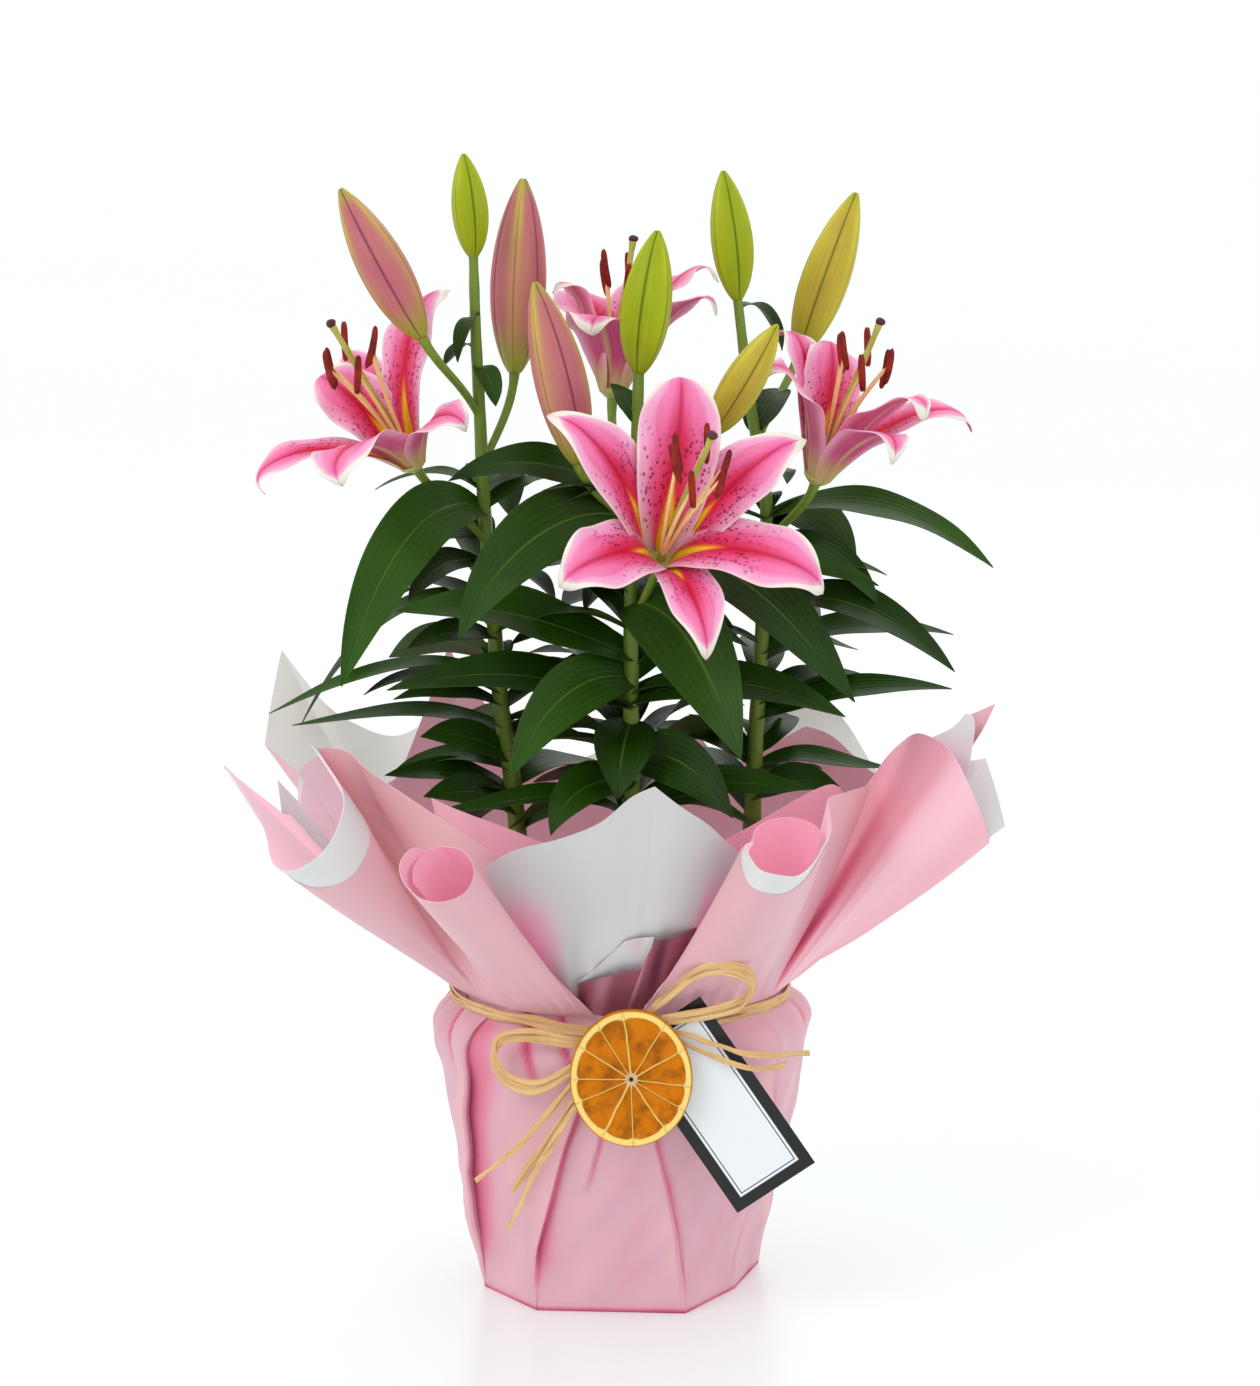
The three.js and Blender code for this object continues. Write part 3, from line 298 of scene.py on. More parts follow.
def blade(
    middle: Array, thickness: Array | float, u: Array, v: Array, slots: tuple[int, int],
    tone: Array | float = 0.0,
) -> Surface:
    """A thin closed blade: two skins half a thickness off a grid of middle points, and a wall round them.

    Args:
        middle: Grid of middle points.
        thickness: Thickness, for all or for each point.
        u: First UV for each row.
        v: Second UV for each column.
        slots: Slots of the skin on the side of the normals and of the other.
        tone: What the finish reads, from 0 to 1; on paper it is painted shade.

    Returns:
        The closed blade.
    """
    rows, columns = middle.shape[:2]
    lift = grid_normals(middle) * (np.broadcast_to(thickness, (rows, columns)) / 2)[..., None]
    points = np.concatenate([(middle + lift).reshape(-1, 3), (middle - lift).reshape(-1, 3)])
    front, rr, cc = grid_faces(rows, columns, closed=False)
    uv = np.stack([u[rr], v[cc]], axis=-1)
    number = np.arange(rows * columns).reshape(rows, columns)
    edge = np.concatenate([number[0, :-1], number[:-1, -1], number[-1, :0:-1], number[:0:-1, 0]])
    after = np.roll(edge, -1)
    shift = rows * columns
    wall = np.stack([after, edge, edge + shift, after + shift], axis=-1)
    edge_uv = np.stack([u[edge // columns], v[edge % columns]], axis=-1)
    next_uv = np.roll(edge_uv, -1, axis=0)
    wall_uv = np.stack([next_uv, edge_uv, edge_uv, next_uv], axis=1)
    return Surface(
        points=points, quads=np.concatenate([front, front[:, ::-1] + shift, wall]),
        quad_uv=np.concatenate([uv, uv[:, ::-1], wall_uv]),
        quad_slot=np.repeat([slots[0], slots[1], slots[0]], [len(front), len(front), len(wall)]),
        tone=np.tile(np.broadcast_to(tone, (rows, columns)).ravel(), 2),
    ).outward()


def skin(rings: Array, u: Array, slot: int = 0, tone: Array | float = 0.0) -> Surface:
    """A closed skin over rings of points, with a flat fan on each end.

    Args:
        rings: Grid of points, one row for each ring.
        u: First UV for each ring. The second goes round from 0 to 1.
        slot: Material slot.
        tone: What the finish reads, from 0 to 1; on paper it is painted shade.

    Returns:
        The closed surface.
    """
    rows, sides = rings.shape[:2]
    quads, rr, cc = grid_faces(rows, sides, closed=True)
    ends = np.stack([rings[0].mean(axis=0), rings[-1].mean(axis=0)])
    points = np.concatenate([rings.reshape(-1, 3), ends])
    tones = np.broadcast_to(tone, (rows, sides))
    k = np.arange(sides)
    after = (k + 1) % sides
    last = (rows - 1) * sides
    hub = rows * sides
    low = np.stack([after, k, np.full(sides, hub)], axis=-1)
    high = np.stack([last + k, last + after, np.full(sides, hub + 1)], axis=-1)

    def fan_uv(first: Array, second: Array, at: float) -> Array:
        """UVs of a fan at one end."""
        return np.stack(
            [np.full((sides, 3), at), np.stack([first, second, (k + 0.5) / sides], axis=-1)], axis=-1
        )

    return Surface(
        points=points, quads=quads, quad_uv=np.stack([u[rr], cc / sides], axis=-1),
        quad_slot=np.full(len(quads), slot),
        tone=np.concatenate([tones.ravel(), tones[[0, -1]].mean(axis=1)]), tris=np.concatenate([low, high]),
        tri_uv=np.concatenate(
            [fan_uv((k + 1) / sides, k / sides, u[0]), fan_uv(k / sides, (k + 1) / sides, u[-1])]
        ),
        tri_slot=np.full(2 * sides, slot),
    ).outward()


def tube(
    path: Array, radii: Array, sides: int, facing: Array | Triple, slot: int = 0, tone: float = 0.0
) -> Surface:
    """A round or flattened rod along a path.

    A ring is path + cos(turn) * a * side + sin(turn) * b * out, with side = tangent x facing and
    out = side x tangent.

    Args:
        path: Points of the middle line.
        radii: One radius for each point, or two: across and along the facing vector.
        sides: Points on each ring.
        facing: Way the flat side faces, for all or for each point.
        slot: Material slot.
        tone: What the finish reads, from 0 to 1.

    Returns:
        The closed rod. Its first UV is the length along the path in millimetres.
    """
    tangent = unit(np.gradient(path, axis=0))
    side = unit(np.cross(tangent, np.broadcast_to(facing, path.shape)))
    out = np.cross(side, tangent)
    across, along = (radii[:, 0], radii[:, 1]) if radii.ndim == 2 else (radii, radii)
    turn = whole_turn(sides)
    x, y = across[:, None] * np.cos(turn), along[:, None] * np.sin(turn)
    rings = beside(path[:, None], side[:, None], x, out[:, None], y)
    return skin(rings, path_length(path), slot, tone)


# Shader maths.


def operator(operation: str, first: bool = True) -> Callable[..., "Wire"]:
    """A method that adds one Math node.

    Args:
        operation: The node's operation.
        first: Whether the wire itself is the first input, rather than the last.

    Returns:
        The method.
    """

    def method(self: "Wire", *others: "Number") -> "Wire":
        """The node's result."""
        values = (self, *others) if first else (*others, self)
        return self.finish.node("ShaderNodeMath", {"operation": operation}, dict(enumerate(values)))

    return method


class Wire:
    """A socket of numbers that Python's operators act on: each operator adds one Math node."""

    def __init__(self, finish: "Shader", socket: bpy.types.NodeSocket) -> None:
        """Keeps the shader and the socket."""
        self.finish = finish
        self.socket = socket

    __add__ = __radd__ = operator("ADD")
    __sub__, __rsub__ = operator("SUBTRACT"), operator("SUBTRACT", first=False)
    __mul__ = __rmul__ = operator("MULTIPLY")
    __truediv__, __rtruediv__ = operator("DIVIDE"), operator("DIVIDE", first=False)
    __pow__ = operator("POWER")
    __abs__ = operator("ABSOLUTE")
    sine = operator("SINE")
    fraction = operator("FRACT")
    least = operator("MINIMUM")
    most = operator("MAXIMUM")

    def step(self, low: float, high: float) -> "Wire":
        """A smooth step from 0 at low to 1 at high."""
        ends = {"Value": self, "From Min": low, "From Max": high, "To Min": 0.0, "To Max": 1.0}
        return self.finish.node("ShaderNodeMapRange", {"interpolation_type": "SMOOTHSTEP"}, ends)

    def fall(self, low: float, high: float) -> "Wire":
        """A smooth step from 1 at low to 0 at high."""
        return 1.0 - self.step(low, high)


Number = Wire | float
Value = Wire | float | str | tuple[float, ...]


def colour(code: str) -> tuple[float, ...]:
    """A screen colour such as "#E2A3B8" as scene-linear numbers."""
    screen = np.array([int(code[k : k + 2], 16) / 255 for k in (1, 3, 5)])
    linear = np.where(screen <= 0.04045, screen / 12.92, ((screen + 0.055) / 1.055) ** 2.4)
    return (*map(float, linear), 1.0)


class Shader:
    """A material that is built node by node round one Principled BSDF."""

    def __init__(self, name: str, specular: float, **constants: Value) -> None:
        """Makes the material.

        Args:
            name: Name of the material.
            specular: Specular level.
            constants: Other sockets of the Principled BSDF, with underscores for spaces.
        """
        self.material = bpy.data.materials.new(name)
        self.material.use_nodes = True
        self.tree = self.material.node_tree
        self.surface = next(n for n in self.tree.nodes if n.type == "BSDF_PRINCIPLED")
        self.feed("Specular IOR Level", specular)
        for key, value in constants.items():
            self.feed(key.replace("_", " "), value)

    def put(self, socket: bpy.types.NodeSocket, value: Value) -> None:
        """Links a wire to a socket, or sets its value. A colour is given by its code."""
        if isinstance(value, Wire):
            self.tree.links.new(value.socket, socket)
        else:
            socket.default_value = colour(value) if isinstance(value, str) else value

    def node(self, kind: str, settings: dict[str, object], inputs: dict, output: int | str = 0) -> Wire:
        """Adds one node.

        Args:
            kind: Type of node.
            settings: The node's own settings, set first.
            inputs: Values or wires by the socket's name or number.
            output: The output to give back.

        Returns:
            The output as a wire.
        """
        made = self.tree.nodes.new(kind)
        for key, value in settings.items():
            setattr(made, key, value)
        for key, value in inputs.items():
            self.put(made.inputs[key], value)
        return Wire(self, made.outputs[output])

    def feed(self, name: str, value: Value) -> None:
        """Feeds a socket of the Principled BSDF."""
        self.put(self.surface.inputs[name], value)

    def place(self, output: str = "Object") -> Wire:
        """Object coordinates in metres, or another output of the Texture Coordinate node."""
        return self.node("ShaderNodeTexCoord", {}, {}, output)

    def uv(self) -> tuple[Wire, Wire]:
        """Both numbers of the piece's own UV map."""
        return self.split(self.place("UV"))

    def split(self, vector: Wire) -> tuple[Wire, Wire]:
        """The first two numbers of a vector."""
        made = self.tree.nodes.new("ShaderNodeSeparateXYZ")
        self.put(made.inputs[0], vector)
        return Wire(self, made.outputs[0]), Wire(self, made.outputs[1])

    def join(self, x: Number, y: Number) -> Wire:
        """Two numbers as a vector."""
        return self.node("ShaderNodeCombineXYZ", {}, {0: x, 1: y, 2: 0.0})

    def tone(self) -> Wire:
        """The piece's own tone attribute, from 0 to 1, which on paper is painted shade."""
        return self.node("ShaderNodeAttribute", {"attribute_name": "tone"}, {}, "Fac")

    def noise(self, vector: Wire, scale: float, detail: float = 3.0, rough: float = 0.5) -> Wire:
        """Noise of about 0 to 1 round a half."""
        inputs = {"Vector": vector, "Scale": scale, "Detail": detail, "Roughness": rough}
        return self.node("ShaderNodeTexNoise", {}, inputs)

    def cells(self, vector: Wire, scale: float, output: str = "Distance") -> Wire:
        """Distance to the nearest of scattered points, or another output of the Voronoi node."""
        return self.node("ShaderNodeTexVoronoi", {}, {"Vector": vector, "Scale": scale}, output)

    def mix(self, share: Number, a: Value, b: Value) -> Wire:
        """Colour a at share 0 and colour b at share 1."""
        return self.node("ShaderNodeMix", {"data_type": "RGBA"}, {0: share, 6: a, 7: b}, 2)

    def finish(self, base: Wire, rough: Number, height: Wire, reach: float, strength: float) -> Material:
        """Feeds the last sockets.

        Args:
            base: Base colour.
            rough: Roughness.
            height: Height of the bump, from 0 to 1.
            reach: Metres that a height of 1 stands for.
            strength: Strength of the bump.

        Returns:
            The finished material.
        """
        self.feed("Base Color", base)
        self.feed("Roughness", rough)
        bump = {"Height": height, "Distance": reach, "Strength": strength}
        self.feed("Normal", self.node("ShaderNodeBump", {}, bump))
        return self.material


# Finishes.


@dataclass(frozen=True)
class PaperFinish:
    """Satin florist paper in one colour, with light and shade painted in. Its tone runs from painted lit
    paper to the painted glow and shade deep in a fold.
    """

    name: str
    lit: str
    base: str
    painted_glow: str
    deep: str
    # Share of its colour that the paper emits: a painted glow, though the paper is no lamp.
    through: float = 0.0
    roughness: float = 0.45

    def material(self) -> Material:
        """The paper's material: four painted lit and shaded colours by the tone, and a painted glow of that
        colour in place of light that comes through it.
        """
        made = Shader(self.name, 0.3, Emission_Strength=self.through)
        place = made.place()
        clouds = made.noise(place, 14.0, 2.0)
        fibre = made.noise(place, 900.0, 2.0, 0.6)
        tone = made.tone() + (clouds - 0.5) * 0.12 + (fibre - 0.5) * 0.05
        # Painted light and shade by the tone: lit paper, then the glow and the deep shade of a fold.
        body = made.mix(tone.step(0.0, PLAIN_TONE), self.lit, self.base)
        painted_glowing = made.mix(tone.step(PLAIN_TONE, 0.62), body, self.painted_glow)
        final = made.mix(tone.step(0.55, 1.0), painted_glowing, self.deep)
        # The painted colour also glows as emission.
        made.feed("Emission Color", final)
        crease = made.noise(place, 42.0, 3.0, 0.5)
        rough = fibre * 0.16 + (self.roughness - 0.08) + tone.step(0.6, 0.95) * 0.45
        return made.finish(final, rough, crease * 0.8 + fibre * 0.06, 0.0009, 0.45)


@dataclass(frozen=True)
class LeafFinish:
    """A waxy leaf with lengthwise veins. Its first UV runs along the leaf and the second across."""

    name: str
    deep: str
    fresh: str
    rib: str
    roughness: float
    veins: int = 9

    def material(self) -> Material:
        """The leaf's material: a pale rib, veins as a sine across, and clouds between two greens."""
        made = Shader(self.name, 0.2)
        along, across = made.uv()
        place = made.place()
        middle = abs(across - 0.5) * 2.0
        vein = (across * (math.tau * self.veins)).sine() * 0.5 + 0.5
        fine = made.noise(made.join(along * 6.0, across * 60.0), 1.0, 2.0)
        clouds = made.noise(place, 45.0, 2.0)
        share = clouds * 0.5 + made.tone() * 0.55 + (fine - 0.5) * 0.3 + (vein ** 6.0) * 0.16 - 0.12
        blade = made.mix(share, self.deep, self.fresh)
        rib = middle.fall(0.01, 0.06) * along.fall(0.55, 1.0) * 0.35
        final = made.mix(rib, blade, self.rib)
        rough = clouds * 0.12 + fine * 0.08 + (self.roughness - 0.1)
        groove = middle.step(0.0, 0.07) * 0.5 + (vein ** 3.0) * 0.12 + fine * 0.1
        return made.finish(final, rough, groove, 0.0009, 0.8)


@dataclass(frozen=True)
class StalkFinish:
    """A smooth green stalk with faint lengthwise streaks."""

    name: str = "stalk_green"
    base: str = "#4F6C1C"
    pale: str = "#8CA83A"

    def material(self) -> Material:
        """The stalk's material: streaks of noise that are long in Z, between two greens."""
        made = Shader(self.name, 0.4)
        turned = made.node("ShaderNodeMapping", {}, {"Vector": made.place(), "Scale": (1.0, 1.0, 0.12)})
        streak = made.noise(turned, 420.0, 2.0)
        clouds = made.noise(made.place(), 22.0, 2.0)
        share = streak * 0.5 + clouds * 0.7 + made.tone() * 0.5 - 0.35
        return made.finish(made.mix(share, self.base, self.pale), streak * 0.2 + 0.32, streak, 0.0003, 0.6)


@dataclass(frozen=True)
class BudFinish:
    """A closed bud: three tepals, each with a rib, dark seams between them, and greener to both ends."""

    name: str
    body: str
    flush: str
    rib: str
    ends: str
    seam: str
    rib_reach: float = 0.4
    tip: float = 0.86

    def material(self) -> Material:
        """The bud's material: ribs and seams by the angle round it, ends by the length along it."""
        made = Shader(self.name, 0.25, Subsurface_Weight=0.08, Subsurface_Scale=0.004)
        along, round_ = made.uv()
        lobe = (round_ * 3.0 + 0.5).fraction() - 0.5
        from_rib = abs(lobe) * 2.0
        streak = made.noise(made.join(along * 2.5, round_ * 90.0), 1.0, 3.0)
        clouds = made.noise(made.place(), 60.0, 2.0)
        share = clouds.step(0.35, 0.7) * 0.25 + streak.step(0.38, 0.62) * 0.45
        # Each tepal turns darker towards its seams.
        share = share + from_rib.step(0.2, 0.9) * 0.35
        flush = made.mix(share, self.body, self.flush)
        rib = from_rib.fall(0.0, self.rib_reach) * (0.35 + along.step(0.5, self.tip) * 0.6)
        ribbed = made.mix(rib + (streak - 0.5) * 0.3, flush, self.rib)
        ends = along.fall(0.02, 0.3) * 0.95 + along.step(0.88, 1.0) * 0.8
        body = made.mix(ends + (streak - 0.5) * 0.3, ribbed, self.ends)
        line = from_rib.fall(0.015, 0.05) * along.fall(0.9, 1.0) * 0.5
        dark = line.most(from_rib.step(0.93, 0.99) * 0.85)
        relief = streak * 0.3 + from_rib.fall(0.9, 1.0) * 0.6
        return made.finish(made.mix(dark, body, self.seam), streak * 0.2 + 0.32, relief, 0.0008, 0.8)


@dataclass(frozen=True)
class PetalFinish:
    """The inside of a tepal: cream margin, lilac and pink blade, crimson band, spots and a gold throat."""

    name: str = "petal_inside"
    margin: str = "#F0E6DA"
    lilac: str = "#F0A4CA"
    blade: str = "#EA5E98"
    band: str = "#D60B42"
    line: str = "#AE0A3A"
    spot: str = "#8A1248"
    throat: str = "#F8D322"
    flare: str = "#F07A30"
    nectary: str = "#BCC83A"

    def material(self) -> Material:
        """The petal's material: colours by the share across the blade and along it."""
        made = Shader(self.name, 0.3, Subsurface_Weight=0.12, Subsurface_Scale=0.003)
        along, across = made.uv()
        side = abs(across - 0.5) * 2.0
        streak = made.noise(made.join(along * 4.0, across * 46.0), 1.0, 3.0)
        wander = made.noise(made.join(along * 5.0, across * 9.0), 1.0, 2.0) - 0.5
        rough = wander * 0.2 + (streak - 0.5) * 0.16
        edge = side + rough * 0.5 + along.step(0.6, 1.0) * 0.45 + along.step(0.84, 0.97) * 0.7
        paler = (edge + rough).step(0.45, 0.85).most(along.step(0.4, 0.85) * side.step(0.0, 0.5) * 0.5)
        outer = made.mix(paler, self.blade, self.lilac)
        pale_foot = along.fall(0.08, 0.26) * side.step(0.3, 0.8) * 0.5
        base = made.mix(edge.step(0.86, 1.06).most(pale_foot), outer, self.margin)
        width = 0.9 - along.step(0.1, 0.8) * 0.66
        band = (1.0 - ((side + rough) / width).step(0.0, 1.0)) ** 0.95 * along.fall(0.46, 0.9)
        pinked = made.mix(band, base, self.band)
        line = side.fall(0.0, 0.11) * along.fall(0.72, 0.94) * 0.65
        lined = made.mix(line, pinked, self.line)
        scatter = made.join(along * 44.0, across * 19.0)
        near = made.cells(scatter, 1.0)
        chance = made.split(made.cells(scatter, 1.0, "Color"))[0]
        zone = along.step(0.1, 0.18) * (1.0 - (along + wander * 0.2).step(0.4, 0.66))
        zone = zone * side.step(0.1, 0.24) * side.fall(0.82, 0.94)
        dot = near.fall(0.22, 0.38) * zone * chance.step(0.05, 0.2)
        spotted = made.mix(dot * 0.8, lined, self.spot)
        star = along + side * 0.7 + wander * 0.08
        flared = made.mix(star.fall(0.34, 0.43) * 0.8, spotted, self.flare)
        warmed = made.mix(star.fall(0.29, 0.37), flared, self.throat)
        green = side.fall(0.04, 0.2) * along.fall(0.1, 0.24) * 0.7
        final = made.mix(green, warmed, self.nectary)
        relief = side.step(0.0, 0.12) * 0.35 + streak * 0.25 + dot * 0.9
        return made.finish(final, streak * 0.2 + 0.36, relief, 0.0012, 0.9)


@dataclass(frozen=True)
class PetalBackFinish:
    """The outside of a tepal: mauve pink, paler to the edges, with a greenish rib and foot."""

    name: str = "petal_outside"
    pale: str = "#F0AECA"
    blush: str = "#C23E76"
    rib: str = "#BDBB68"

    def material(self) -> Material:
        """The back's material: blush in the middle, pale to the edges and a green rib and foot, with a
        painted glow of blush.
        """
        # The back glows with painted light in its blush colour, though it is no lamp.
        made = Shader(
            self.name, 0.3, Subsurface_Weight=0.12, Subsurface_Scale=0.003,
            Emission_Color=self.blush, Emission_Strength=0.12,
        )
        along, across = made.uv()
        side = abs(across - 0.5) * 2.0
        streak = made.noise(made.join(along * 4.0, across * 50.0), 1.0, 3.0)
        blush = (1.0 - (side + (streak - 0.5) * 0.4).step(0.45, 1.05)) * (0.6 + streak * 0.6)
        blade = made.mix(blush, self.pale, self.blush)
        rib = side.fall(0.02, 0.12) * along.fall(0.3, 0.85) * 0.8
        foot = 1.0 - (along + (streak - 0.5) * 0.1).step(0.04, 0.26)
        final = made.mix(rib.most(foot * 0.85), blade, self.rib)
        relief = streak * 0.4 + side.fall(0.0, 0.12) * 0.5
        return made.finish(final, streak * 0.2 + 0.38, relief, 0.0012, 0.7)


@dataclass(frozen=True)
class PlainFinish:
    """One colour with a drift to another, and grain of a given size."""

    name: str
    base: str
    other: str
    roughness: float
    scale: float
    relief: float

    def material(self) -> Material:
        """The material: noise mixes both colours and raises the grain."""
        made = Shader(self.name, 0.3)
        grain = made.noise(made.place(), self.scale, 3.0, 0.6)
        final = made.mix(grain.step(0.3, 0.7), self.base, self.other)
        return made.finish(final, grain * 0.2 + (self.roughness - 0.1), grain, self.relief, 0.8)


@dataclass(frozen=True)
class RaffiaFinish:
    """Dry raffia with fibres along the strand. Its first UV is the length in millimetres."""

    name: str = "raffia_straw"
    base: str = "#DFA55E"
    pale: str = "#F8DCA8"
    dark: str = "#AE7130"

    def material(self) -> Material:
        """The raffia's material: fibres are noise stretched along the strand."""
        made = Shader(self.name, 0.35)
        along, round_ = made.uv()
        fibre = made.noise(made.join(along * 0.02, round_ * 30.0), 1.0, 3.0, 0.6)
        patch = made.noise(made.join(along * 0.05, round_ * 2.0), 1.0, 2.0)
        lit = made.mix(fibre.step(0.35, 0.75), self.base, self.pale)
        shade = patch.fall(0.3, 0.55) * 0.3 + fibre.fall(0.25, 0.42) * 0.4
        tinted = made.mix(made.tone() * 0.3, made.mix(shade, lit, self.dark), self.pale)
        return made.finish(tinted, fibre * 0.3 + 0.35, fibre, 0.0006, 0.9)


@dataclass(frozen=True)
class OrangeFinish:
    """A dried slice of orange. Its first UV is the share of the radius and the second the turn."""

    name: str = "orange_flesh"
    flesh: str = "#D27600"
    deep: str = "#8E4C00"
    light: str = "#EE9C0C"
    skin: str = "#F5CB6A"
    pith: str = "#F7D67C"
    rind: str = "#C27A1C"
    heart: str = "#F0CDA0"
    core: str = "#4A2C14"
    segments: int = 12
    radius: float = 34.0

    def material(self) -> Material:
        """The slice's material: thin walls, pulp of long cells, a scalloped ring of pith, and rind."""
        made = Shader(self.name, 0.12, Subsurface_Weight=0.1, Subsurface_Scale=0.003)
        share, turn = made.uv()
        place = made.place()
        wander = made.noise(place, 70.0, 2.0) - 0.5
        uneven = (turn * (4 * math.pi) + 0.7).sine() * 0.2 + (turn * (10 * math.pi) + 2.0).sine() * 0.12
        lobe = (turn * float(self.segments) + uneven + wander * 0.2).fraction() - 0.5
        off_wall = (0.5 - abs(lobe)) * share * (math.tau * self.radius / self.segments)
        wall = off_wall.fall(0.2, 0.62)
        pulp = made.noise(made.join(share * 7.0, turn * 130.0), 1.0, 3.0, 0.6)
        clouds = made.noise(place, 85.0, 4.0, 0.65)
        tint = made.mix(clouds.step(0.32, 0.6) * 0.8 + 0.2, self.deep, self.flesh)
        lit = made.mix(pulp.step(0.55, 0.8) * 0.4, tint, self.light)
        walled = made.mix(wall * 0.9, lit, self.skin)
        scallop = (abs(lobe) * 2.0) ** 4.0
        pith = (share + scallop * 0.045 + wander * 0.02).step(0.875, 0.9)
        ringed = made.mix(pith, walled, self.pith)
        rimmed = made.mix(share.step(0.962, 0.985), ringed, self.rind)
        core = 1.0 - (share + wander * 0.08 - wall * 0.03).step(0.08, 0.115)
        seed = 1.0 - (share + wander * 0.1).step(0.03, 0.05)
        heart = made.mix(seed, made.mix(core, rimmed, self.heart), self.core)
        relief = wall * 0.6 + pulp * 0.5 + pith * 0.5
        return made.finish(heart, pulp * 0.3 + pith * 0.2 + 0.18, relief, 0.0012, 0.9)


@dataclass(frozen=True)
class CardFinish:
    """The face of the card: white with a dark border and a thin line. Its UV is in millimetres."""

    width: float
    length: float
    name: str = "card_face"
    white: str = "#E6EAEF"
    dark: str = "#151516"
    border: float = 6.2
    line: float = 7.8

    def material(self) -> Material:
        """The face's material: everything goes by the distance to the nearest edge."""
        made = Shader(self.name, 0.4)
        x, y = made.uv()
        off = x.least(self.length - x).least(y.least(self.width - y))
        border = off.fall(self.border - 0.1, self.border + 0.1)
        dark = border.most(1.0 - abs(off - self.line).step(0.2, 0.36))
        face = made.mix(dark, self.white, self.dark)
        return made.finish(face, 0.42, made.noise(made.place(), 700.0, 2.0), 0.0002, 0.4)


class Sides(Enum):
    """Which way round a sheet of paper lies: the slots of its outside and its inside."""

    # Slots 2 to 8 are copies of the pink and white paper with light and shade painted in.
    PINK_OUT = (0, 1)
    PINK_THIN = (0, 7)
    CONE = (5, 2)
    PINK_BLUSH = (0, 8)
    WHITE_PAINTED_SHADE_OUT = (6, 0)
    WHITE_OUT = (1, 0)
    ALL_PINK = (0, 2)
    ALL_WHITE = (1, 1)
    ALL_PAINTED_HOT_GLOW = (2, 2)
    ALL_PINK_PAINTED_SHADE = (3, 3)
    WHITE_ROLL = (1, 8)
    WHITE_BACK = (1, 3)
    SHADE = (4, 4)


def finished(*finishes: object) -> Materials:
    """A field that holds the materials of finishes, in the order of their slots."""
    return field(default_factory=lambda: [finish.material() for finish in finishes])


@dataclass
class Palette:
    """Every finish of the plant and its wrap, made once."""

    # Lit and shaded copies of a pink and a white paper, by slot: 2 and 8 are pink that glows with painted
    # light inside the rolls, 3 and 4 pink painted in shade, 5 a brighter pink for the cone, 6 white painted
    # in shade and 7 white that glows with painted light. Every finish paints light and shade by its tone,
    # and all but slot 1 glow by emission.
    paper: Materials = finished(
        PaperFinish("paper_pink", "#DEACB2", "#D2A2AF", "#D4708C", "#962E50", 0.1),
        PaperFinish("paper_white", "#E4E4E5", "#D8D7D8", "#D8A6BE", "#B9748F"),
        PaperFinish("paper_pink_painted_hot_glow", "#DEA2B4", "#DA93AA", "#D8748F", "#AE4268", 0.23),
        PaperFinish("paper_pink_painted_shade_glow", "#E6AEBC", "#D296A6", "#AE7488", "#7A3A50", 0.26),
        PaperFinish("paper_shade", "#C48E9A", "#B07484", "#945060", "#5F2438", 0.04),
        PaperFinish("paper_cone", "#F0BECA", "#EBA5B5", "#DC7690", "#A83456", 0.08),
        PaperFinish("paper_white_painted_shade", "#D2CFD0", "#C1C0C0", "#E8A2BE", "#BC7E96", 0.03),
        PaperFinish("paper_white_painted_glow", "#DEDED9", "#D6D6D0", "#D8A6BE", "#B9748F", 0.33),
        PaperFinish("paper_pink_painted_soft_glow", "#E2C2CC", "#DEB6C2", "#D48CA0", "#B4526E", 0.38),
    )
    leaf: Materials = finished(
        LeafFinish("leaf_top", "#152A02", "#2F5C06", "#6E9430", 0.44),
        LeafFinish("leaf_under", "#2A3E14", "#48602A", "#7A9250", 0.5), StalkFinish(),
    )
    petal: Materials = finished(
        PetalFinish(), PetalBackFinish(), StalkFinish("receptacle_green", "#A0AC4A", "#CCCE7C")
    )
    green_bud: Materials = finished(
        BudFinish("bud_green", "#A2AE02", "#8A9A04", "#B2BC18", "#9AA81A", "#4F600A")
    )
    ripe_bud: Materials = finished(
        BudFinish("bud_ripe", "#C8BA34", "#B4963A", "#D0CA44", "#A4A82C", "#6E6A20")
    )
    pink_bud: Materials = finished(
        BudFinish("bud_pink", "#BE7E68", "#B85474", "#C8B648", "#A4A838", "#7A3350", tip=0.92)
    )
    stamen: Materials = finished(
        PlainFinish("filament", "#F4DA92", "#F2C48A", 0.45, 90.0, 0.0002),
        PlainFinish("pollen", "#98200E", "#5E0E0A", 0.7, 160.0, 0.0001),
        PlainFinish("style_green", "#A6A648", "#C2BC62", 0.4, 80.0, 0.0002),
        PlainFinish("stigma_dark", "#3A1A22", "#552630", 0.35, 300.0, 0.0005),
    )
    raffia: Materials = finished(RaffiaFinish())
    orange: Materials = finished(OrangeFinish())
    card: Materials = finished(CardFinish(width=49.0, length=108.0))
    soil: Materials = finished(PlainFinish("soil_mix", "#2A1C13", "#4A3524", 0.95, 160.0, 0.004))
    plastic: Materials = finished(PlainFinish("pot_plastic", "#161616", "#1E1E1E", 0.5, 400.0, 0.0001))


# Pieces.


